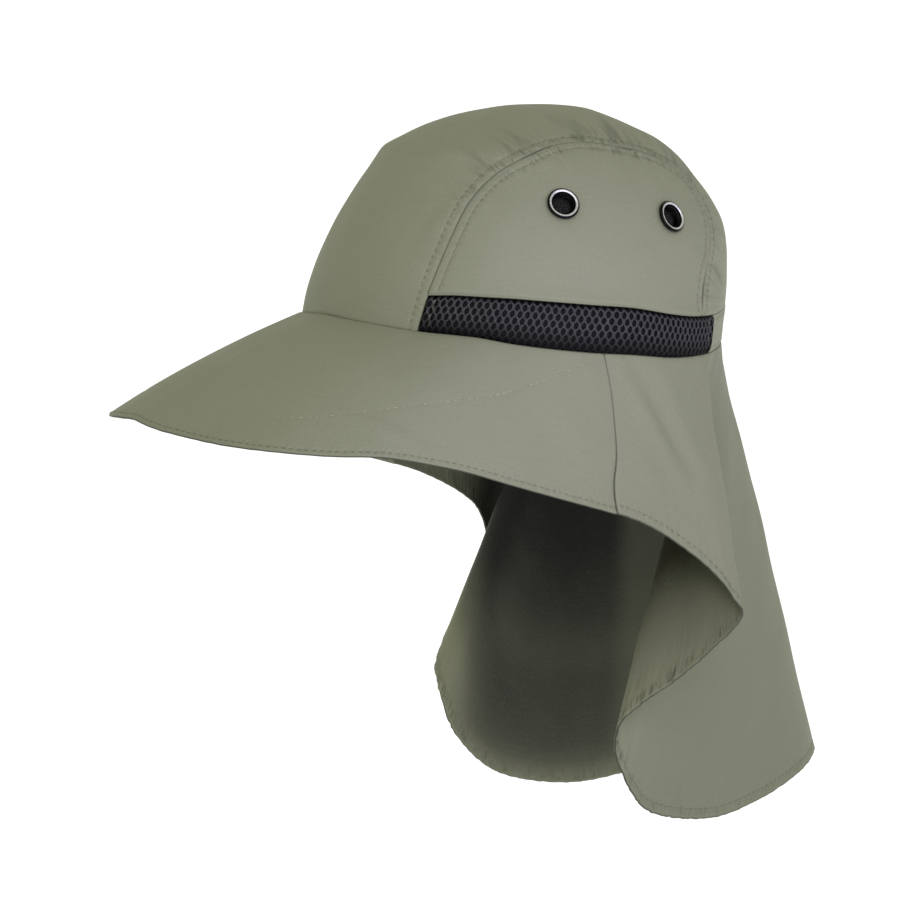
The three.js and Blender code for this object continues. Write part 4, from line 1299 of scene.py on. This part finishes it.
# turn, then the brim's edge from its root on the crown: out, ahead and down as shares of the
# brim's spread, length and drop
BRIM_EDGE = [
    (0, 0, 1.03, 0.592), (9, 0.07, 1.02, 0.618), (18, 0.17, 0.975, 0.64), (27, 0.31, 0.92, 0.655),
    (36, 0.4, 0.85, 0.665), (45, 0.43, 0.73, 0.672), (55, 0.41, 0.585, 0.68), (64, 0.37, 0.435, 0.722),
    (72, 0.36, 0.29, 0.808), (80, 0.33, 0.13, 0.905), (88, 0.31, -0.055, 1.02),
]

# turn, then the cape's hem from its root on the crown: out and back as shares of the flare, and
# down as a share of the cape's length
CAPE_HEM = [
    (96, 0.23, 0.06, 0.362), (104, 0.26, 0.03, 0.388), (112, 0.35, 0, 0.422), (120, 0.5, -0.06, 0.465),
    (125, 0.61, -0.11, 0.5), (128, 0.66, -0.115, 0.524), (129.5, 0.65, -0.145, 0.547),
    (131, 0.58, -0.27, 0.595), (132.5, 0.45, -0.5, 0.67), (134, 0.29, -0.82, 0.755),
    (135.5, 0.25, -0.9, 0.825), (137, 0.26, -0.82, 0.913), (140, 0.2, -0.6, 0.992),
    (146, 0.19, -0.16, 1.03), (154, 0.2, 0.22, 1.015), (163, 0.2, 0.57, 0.982),
    (172, 0.12, 0.825, 0.955), (180, 0, 0.905, 0.948),
]

# turn, then where brim and cape swell out halfway between seam and edge: out, back and up as
# shares of the swell
SWELLS = [
    (0, 0, 0, 0.5), (30, 0.05, 0, 0.5), (55, 0.1, 0, 0.25), (88, 0, 0, 0), (137, 0, 0, 0),
    (147, 0.25, 0.1, 0), (160, 0.25, 0.3, 0), (180, 0, 0.4, 0),
]

# turn, then how the edge hangs differently on the wearer's right: out and ahead as shares of the
# flare, and down as a share of the cape's length
RIGHT_SLACK = [
    (0, 0, 0, 0), (10, 0, 0.035, -0.01), (25, 0, 0.045, -0.015), (45, 0, 0.01, -0.01),
    (70, 0, 0, -0.003), (96, 0, -0.01, -0.008), (112, 0, -0.045, -0.01), (122, 0, -0.045, -0.005),
    (128.5, 0, -0.045, 0), (132.5, 0.065, 0.06, 0), (135.5, 0.01, 0.01, 0.002),
    (141, 0, 0.015, 0.017), (150, 0, 0.01, 0.014), (165, 0, 0, -0.003), (180, 0, 0, 0),
]


def skirt_stations():
    """Station, turn and the place of the edge, from the middle of the front to that of the back."""
    rows = [
        (turn, out * BRIM_SPREAD, -ahead * BRIM_LENGTH, -down * BRIM_DROP)
        for turn, out, ahead, down in BRIM_EDGE
    ]
    rows += [
        (turn, out * CAPE_FLARE, back * CAPE_FLARE, -down * CAPE_LENGTH)
        for turn, out, back, down in CAPE_HEM
    ]
    stations = []
    for station, (turn, x, y, z) in enumerate(rows):
        root = crown_point(turn, level_of(base_height(turn)))
        stations.append((station, turn, root[0] + x, root[1] + y, root[2] + z))
    return stations


SKIRT = skirt_stations()
EAR_STATION = len(BRIM_EDGE) - 1
BACK_STATION = len(SKIRT) - 1


def skirt_point(station, down):
    """A point of the skirt, from the crown's seam (down 0) to the edge (down 1). Stations below
    0 or past the back lie on the wearer's right."""
    station, down = np.broadcast_arrays(np.asarray(station, float), np.asarray(down, float))
    near = np.where(station > BACK_STATION, 2 * BACK_STATION - station, np.abs(station))
    right = (station > BACK_STATION) | (station < 0)
    turn = read_column(SKIRT, 1, near)
    root = crown_point(turn, level_of(base_height(turn) + ROOT_TUCK))
    edge = np.stack([read_column(SKIRT, column, near) for column in (2, 3, 4)], axis=-1)
    slack = np.stack([read_column(RIGHT_SLACK, column, turn) for column in (1, 2, 3)], axis=-1)
    edge = edge + slack * right[..., None] * np.array([CAPE_FLARE, -CAPE_FLARE, -CAPE_LENGTH])
    swell = np.stack([read_column(SWELLS, column, turn) for column in (1, 2, 3)], axis=-1)
    point = root + (edge - root) * down[..., None]
    point = point + SKIRT_SWELL * swell * np.sin(math.pi * down)[..., None]
    point[..., 0] *= np.where(right, -1, 1)
    return point


EAR_PACE = np.linalg.norm(skirt_point(EAR_STATION - 0.5, 0) - skirt_point(EAR_STATION + 0.5, 0))

# Distances in metres from the edge and from the crown's seam of the close rows along them
EDGE_ROWS = (0, 0.0005, 0.0011, 0.0018, 0.0026, 0.0036, 0.005, 0.007, 0.0095)
ROOT_ROWS = (0.003, 0.0016, 0.0007, 0)


def skirt_face(stations, rows, start_ear, end_ear):
    """The outer face from the edge (first row) up to the root (last row). Its two ends sway with
    the seams over the ears."""
    length = np.linalg.norm(skirt_point(stations, 1) - skirt_point(stations, 0), axis=-1)
    edge = np.array(EDGE_ROWS)[:, None] + 0 * length
    root = length - np.array(ROOT_ROWS)[:, None]
    between = np.linspace(0, 1, rows - len(edge) - len(root) + 2)[1:-1, None]
    inward = np.concatenate([edge, edge[-1] * (1 - between) + root[0] * between, root])
    down = 1 - inward / length
    sway = read_column(EAR_SEAM, 1, down)
    share = (stations - stations[0]) / (stations[-1] - stations[0])
    station = stations + sway * (start_ear * (1 - share) + end_ear * share)
    return skirt_point(station, down)


def even_stations(low, high, count, root_weight=0.35):
    """Stations spread evenly along the edge, with some regard to the root."""
    at = np.linspace(low, high, 4000)
    edge = lengths_along(skirt_point(at, 1))
    root = lengths_along(skirt_point(at, 0))
    travelled = edge / edge[-1] * (1 - root_weight) + root / root[-1] * root_weight
    return np.interp(np.linspace(0, 1, count), travelled, at)


def ends_away(face):
    """How far along its row each point of a grid lies from the nearer end."""
    across = travelled_across(face)
    return np.minimum(across, across[:, -1:] - across)


ear_step = SEAM_SHOWN / EAR_PACE
brim_end = EAR_STATION - ear_step
brim_stations = even_stations(-brim_end, brim_end, BRIM_COLUMNS)
brim_plain = skirt_face(brim_stations, BRIM_ROWS, -1, 1)
brim_in = travelled_up(brim_plain)
brim_out = brim_in[-1] - brim_in
brim_along = np.repeat(lengths_along(brim_plain[0])[None], BRIM_ROWS, axis=0)
ear_away = ends_away(brim_plain)

# station, and how far in from the edge the stiffener's row runs, as a share of the way to the
# root
STIFFENER_ROW = [
    (0, 0.16), (1, 0.165), (2, 0.18), (3, 0.2), (4, 0.25), (5, 0.34), (6, 0.45), (7, 0.58),
    (8, 0.75), (9, 0.885), (10, 1),
]
stiff_share = read_column(STIFFENER_ROW, 1, np.abs(brim_stations))
stiff_in = stiff_share * brim_in[-1]
stiff_off = (brim_in - stiff_in) * 0.85

brim_lift = -0.0003 * np.exp(-((brim_out / 0.0006) ** 2))
brim_lift -= 0.0003 * np.exp(-(((brim_in - BRIM_ROW_IN) / 0.0005) ** 2))
brim_lift -= 0.00015 * np.exp(-((stiff_off / 0.0009) ** 2))
brim_lift -= 0.0001 * np.exp(-((ear_away / 0.0004) ** 2))
brim_lift += 0.00012 * puckers(brim_along, brim_in, 0.011, 0.008, 31)

# start and end (station, share of the way down) of soft creases, with width and height in metres
BRIM_CREASES = [
    ((4.7, 0.7), (6.2, 0.92), 0.0035, 0.0006), ((5, 0.68), (6.8, 0.88), 0.003, -0.0006),
    ((4.3, 0.75), (5, 0.94), 0.003, 0.0004), ((8.6, 0.3), (9.4, 0.7), 0.006, 0.0005),
    ((-5.5, 0.6), (-7, 0.9), 0.004, 0.0006), ((2, 0.3), (5, 0.5), 0.01, 0.0004),
]
brim_lift = add_creases(brim_lift, brim_plain, BRIM_CREASES, skirt_point)
soft_part = 1 / (1 + np.exp(stiff_off / 0.004))
brim_lift += soft_part * 0.0003 * soft_waves(brim_plain, 0.04, 33)
brim_lift += 0.0001 * soft_waves(brim_plain, 0.06, 34)
brim_face = brim_plain + grid_normals(brim_plain) * brim_lift[..., None]
brim_cloth = cloth_piece(
    "brim_cloth",
    brim_face,
    BRIM_THICKNESS,
    np.stack([brim_along, brim_in], axis=-1),
    {
        "edge_away": np.minimum(np.minimum(brim_out, ear_away), np.abs(brim_in - BRIM_ROW_IN) + 0.0005),
        "row_along": brim_along,
        "row_away": brim_in - BRIM_ROW_IN,
        "gather": 0.25 * ease(brim_in, 0.0004, 0.0012) * ease(brim_in, 0.006, 0.0025),
        "shade": 0.7 * np.clip(brim_in / 0.06, 0, 1),
    },
    cloth_finishes,
)
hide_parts("brim")
brim_surface = surface_of(brim_cloth)
brim_stitches = stitch_piece(
    "brim_edge_topstitch", [(grid_line(brim_face, brim_in, BRIM_ROW_IN), brim_surface)], hem_thread
)
stiff_rows = []
stiff_line = grid_line(brim_face, brim_in, stiff_in)
for low, high in ((3.2, 9.4), (-9.4, -3.2)):
    stiff_rows.append((stiff_line[(brim_stations > low) & (brim_stations < high)], brim_surface))
stiff_stitches = stitch_piece(
    "brim_stiffener_topstitch", stiff_rows, pale_thread, pitch=0.0034, length=0.0027, width=0.0004
)


# Neck cape: one ply of the olive cloth that hangs from the bands, from ear to ear round the
# back. It folds back on itself behind each ear. Its hem is overlocked, turned once and sewn,
# and waves where the stitching has drawn it in.
CAPE_COLUMNS = 470
CAPE_ROWS = 84
CAPE_ROW_IN = 0.0042

cape_start = EAR_STATION + ear_step
cape_stations = even_stations(cape_start, 2 * BACK_STATION - cape_start, CAPE_COLUMNS, 0.2)
cape_plain = skirt_face(cape_stations, CAPE_ROWS, 1, -1)

# station, and how strongly the hem waves there
HEM_WAVE = [(10, 0.2), (14, 0.35), (17, 0.6), (19, 1), (21, 1), (23, 0.6), (25, 0.35), (28, 0.3)]
near_station = np.where(cape_stations > BACK_STATION, 2 * BACK_STATION - cape_stations, cape_stations)
wave_strength = read_column(HEM_WAVE, 1, near_station)[None]
hem_run = cape_plain[0] - cape_plain[len(EDGE_ROWS)]
hem_run /= np.linalg.norm(hem_run, axis=-1, keepdims=True)
hem_travelled = lengths_along(cape_plain[0])
hem_shift = 0.0005 * wave_strength[0] * puckers(hem_travelled, 0 * hem_travelled, 0.0048, 1, 46)
hem_share = np.exp(-travelled_up(cape_plain) / 0.005)
cape_plain = cape_plain + hem_run * (hem_shift * hem_share)[..., None]
cape_in = travelled_up(cape_plain)
cape_out = cape_in[-1] - cape_in
cape_along = np.repeat(lengths_along(cape_plain[0])[None], CAPE_ROWS, axis=0)
cape_ear_away = ends_away(cape_plain)

# start and end (station, share of the way down) of soft creases, with width and height in metres
CAPE_CREASES = [
    ((10.6, 0.1), (12.9, 0.66), 0.0055, 0.0014), ((11.2, 0.08), (13.4, 0.6), 0.005, -0.0014),
    ((12.2, 0.06), (14.2, 0.55), 0.005, 0.0012), ((24.6, 0.15), (23.6, 0.6), 0.01, 0.0012),
    ((26.4, 0.1), (26.8, 0.7), 0.012, 0.001),
]

cape_lift = -0.0003 * np.exp(-((cape_out / 0.0006) ** 2))
cape_lift -= 0.0001 * np.exp(-((cape_ear_away / 0.0004) ** 2))
cape_lift -= 0.0002 * np.exp(-(((cape_in - CAPE_ROW_IN) / 0.0007) ** 2))
cape_lift += 0.0006 * wave_strength * puckers(cape_along, cape_in, 0.0125, 0.009, 41)
cape_lift += 0.0004 * wave_strength * puckers(cape_along, cape_in, 0.0056, 0.0065, 45)
cape_lift += 0.0003 * soft_waves(cape_plain, 0.06, 43) + 0.0001 * soft_waves(cape_plain, 0.02, 44)
root_along = np.repeat(lengths_along(cape_plain[-1])[None], CAPE_ROWS, axis=0)
cape_lift += 0.0003 * puckers(root_along, cape_out, 0.016, 0.02, 42) * np.clip(cape_out / 0.004, 0, 1)
cape_lift = add_creases(cape_lift, cape_plain, CAPE_CREASES, skirt_point)

# distance in metres from the hem, and how deep the shade is there inside the cape
HOLLOW_SHADE = [
    (0, 0.25), (0.006, 0.5), (0.01, 0.68), (0.02, 0.82), (0.047, 0.84), (0.062, 0.78),
    (0.086, 0.9), (0.12, 1), (0.3, 1),
]
MARGIN_SHADE = [(0, 0), (0.02, 0.03), (0.037, 0.46), (0.06, 0.88), (0.083, 1), (0.3, 1)]

# The inside is darkest behind the folds and gets lighter towards the hem. The strip that the
# folds turn outwards is brown in the shade of the fold above it, and lighter at its hem. These
# tones are painted on, beyond what the lamps give.
folded_out = ease(near_station, 15.6, 16.6) * ease(near_station, 23.4, 21.3)
folded_out = np.where(cape_stations < BACK_STATION, folded_out, 0)[None] + 0 * cape_in
past_fold = ease(near_station, 22.8, 21)[None]
hollow = read_column(HOLLOW_SHADE, 1, cape_in)
cape_shade = hollow * (1 - past_fold) + read_column(MARGIN_SHADE, 1, cape_in) * past_fold
near_ear = ease(near_station, 16.5, 15.5)[None]
cape_shade = cape_shade * (1 - near_ear) + (0.45 + 0.5 * ease(near_station, 11.5, 14))[None] * near_ear
cape_shade *= 1 - 0.28 * ease(near_station, 24.4, 25)[None]
strip_shade = 0.26 + 11 * cape_in + 0.115 * (20 - near_station)[None]
cape_shade = cape_shade * (1 - folded_out) + np.clip(strip_shade, 0, 1) * folded_out
cape_face = cape_plain + grid_normals(cape_plain) * cape_lift[..., None]
cape_cloth = cloth_piece(
    "neck_cape_cloth",
    cape_face,
    CAPE_CLOTH,
    np.stack([cape_along, cape_in], axis=-1),
    {
        "edge_away": np.minimum(np.minimum(cape_out, cape_ear_away), cape_in),
        "row_along": cape_along,
        "row_away": cape_in - CAPE_ROW_IN,
        "gather": wave_strength * ease(cape_in, 0.0006, 0.002) * ease(cape_in, 0.0085, 0.003),
        "streak": 0.4 * wave_strength * ease(cape_in, 0.002, 0.006) * ease(cape_in, 0.03, 0.008),
        # Painted shade on the cape past the fold.
        "behind": 0.2 * ease(near_station, 21.5, 22.5)[None] + 0 * cape_in,
        "folded_out": folded_out,
        "shade": cape_shade,
    },
    cloth_finishes,
)
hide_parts("neck_cape")
cape_surface = surface_of(cape_cloth)
cape_stitches = stitch_piece(
    "neck_cape_hem_stitches", [(grid_line(cape_face, cape_in, CAPE_ROW_IN), cape_surface)], hem_thread
)


# Studio: a pale floor well below the cap that glows a little, and an even surround that looks
# lighter to the camera than it lights the cap. Two soft lamps stand close to the cap off the
# wearer's left, so that their light falls off towards the hem and the front.
FLOOR_DEPTH = 0.75
FLOOR_SIZE = 60

floor_mesh = bpy.data.meshes.new("floor")
half = FLOOR_SIZE / 2
floor_mesh.from_pydata(
    [(x * half, y * half, -FLOOR_DEPTH) for x, y in ((-1, -1), (1, -1), (1, 1), (-1, 1))],
    [],
    [(0, 1, 2, 3)],
)
floor = bpy.data.objects.new("floor", floor_mesh)
bpy.context.scene.collection.objects.link(floor)
pale, pale_tree, pale_shader = new_material("pale_floor")
grain = node(pale_tree, "ShaderNodeTexNoise", {"Scale": 3.0, "Detail": 2})
tone = mix_colours(pale_tree, grain.outputs[0], (0.93, 0.93, 0.93, 1), (0.96, 0.96, 0.96, 1))
pale_tree.links.new(tone, pale_shader.inputs["Base Color"])
pale_shader.inputs["Roughness"].default_value = 0.9
pale_shader.inputs["Emission Color"].default_value = (0.86, 0.86, 1, 1)
pale_shader.inputs["Emission Strength"].default_value = 0.58
floor_mesh.materials.append(pale)

world = bpy.data.worlds.new("studio")
bpy.context.scene.world = world
world.use_nodes = True
sky = world.node_tree
sky.nodes.clear()
seen = node(sky, "ShaderNodeLightPath").outputs["Is Camera Ray"]
glow = mix_colours(sky, seen, (0.69, 0.7, 0.58, 1), (1.05, 1.05, 1.05, 1))
surround = node(sky, "ShaderNodeBackground", {"Color": glow})
sky.links.new(surround.outputs[0], sky.nodes.new("ShaderNodeOutputWorld").inputs["Surface"])

# name, turn, rise, distance, size, power and colour of each lamp
LAMPS = [
    ("key", 92, 20, 0.38, 0.25, 0.46, (0.74, 0.69, 1)),
    ("fill", 60, 35, 0.6, 0.3, 0.48, (1, 1, 0.9)),
]
for name, turn, rise, distance, size, power, colour in LAMPS:
    lamp_data = bpy.data.lights.new(name, "AREA")
    lamp_data.shape = "DISK"
    lamp_data.size = size
    lamp_data.energy = power
    lamp_data.color = colour
    lamp = bpy.data.objects.new(name, lamp_data)
    turn = math.radians(turn)
    rise = math.radians(rise)
    from_cap = Vector((math.sin(turn) * math.cos(rise), -math.cos(turn) * math.cos(rise), math.sin(rise)))
    lamp.location = AIM + from_cap * distance
    lamp.rotation_mode = "QUATERNION"
    lamp.rotation_quaternion = (-from_cap).to_track_quat("-Z", "Y")
    bpy.context.scene.collection.objects.link(lamp)

bpy.context.scene.view_settings.view_transform = "Standard"
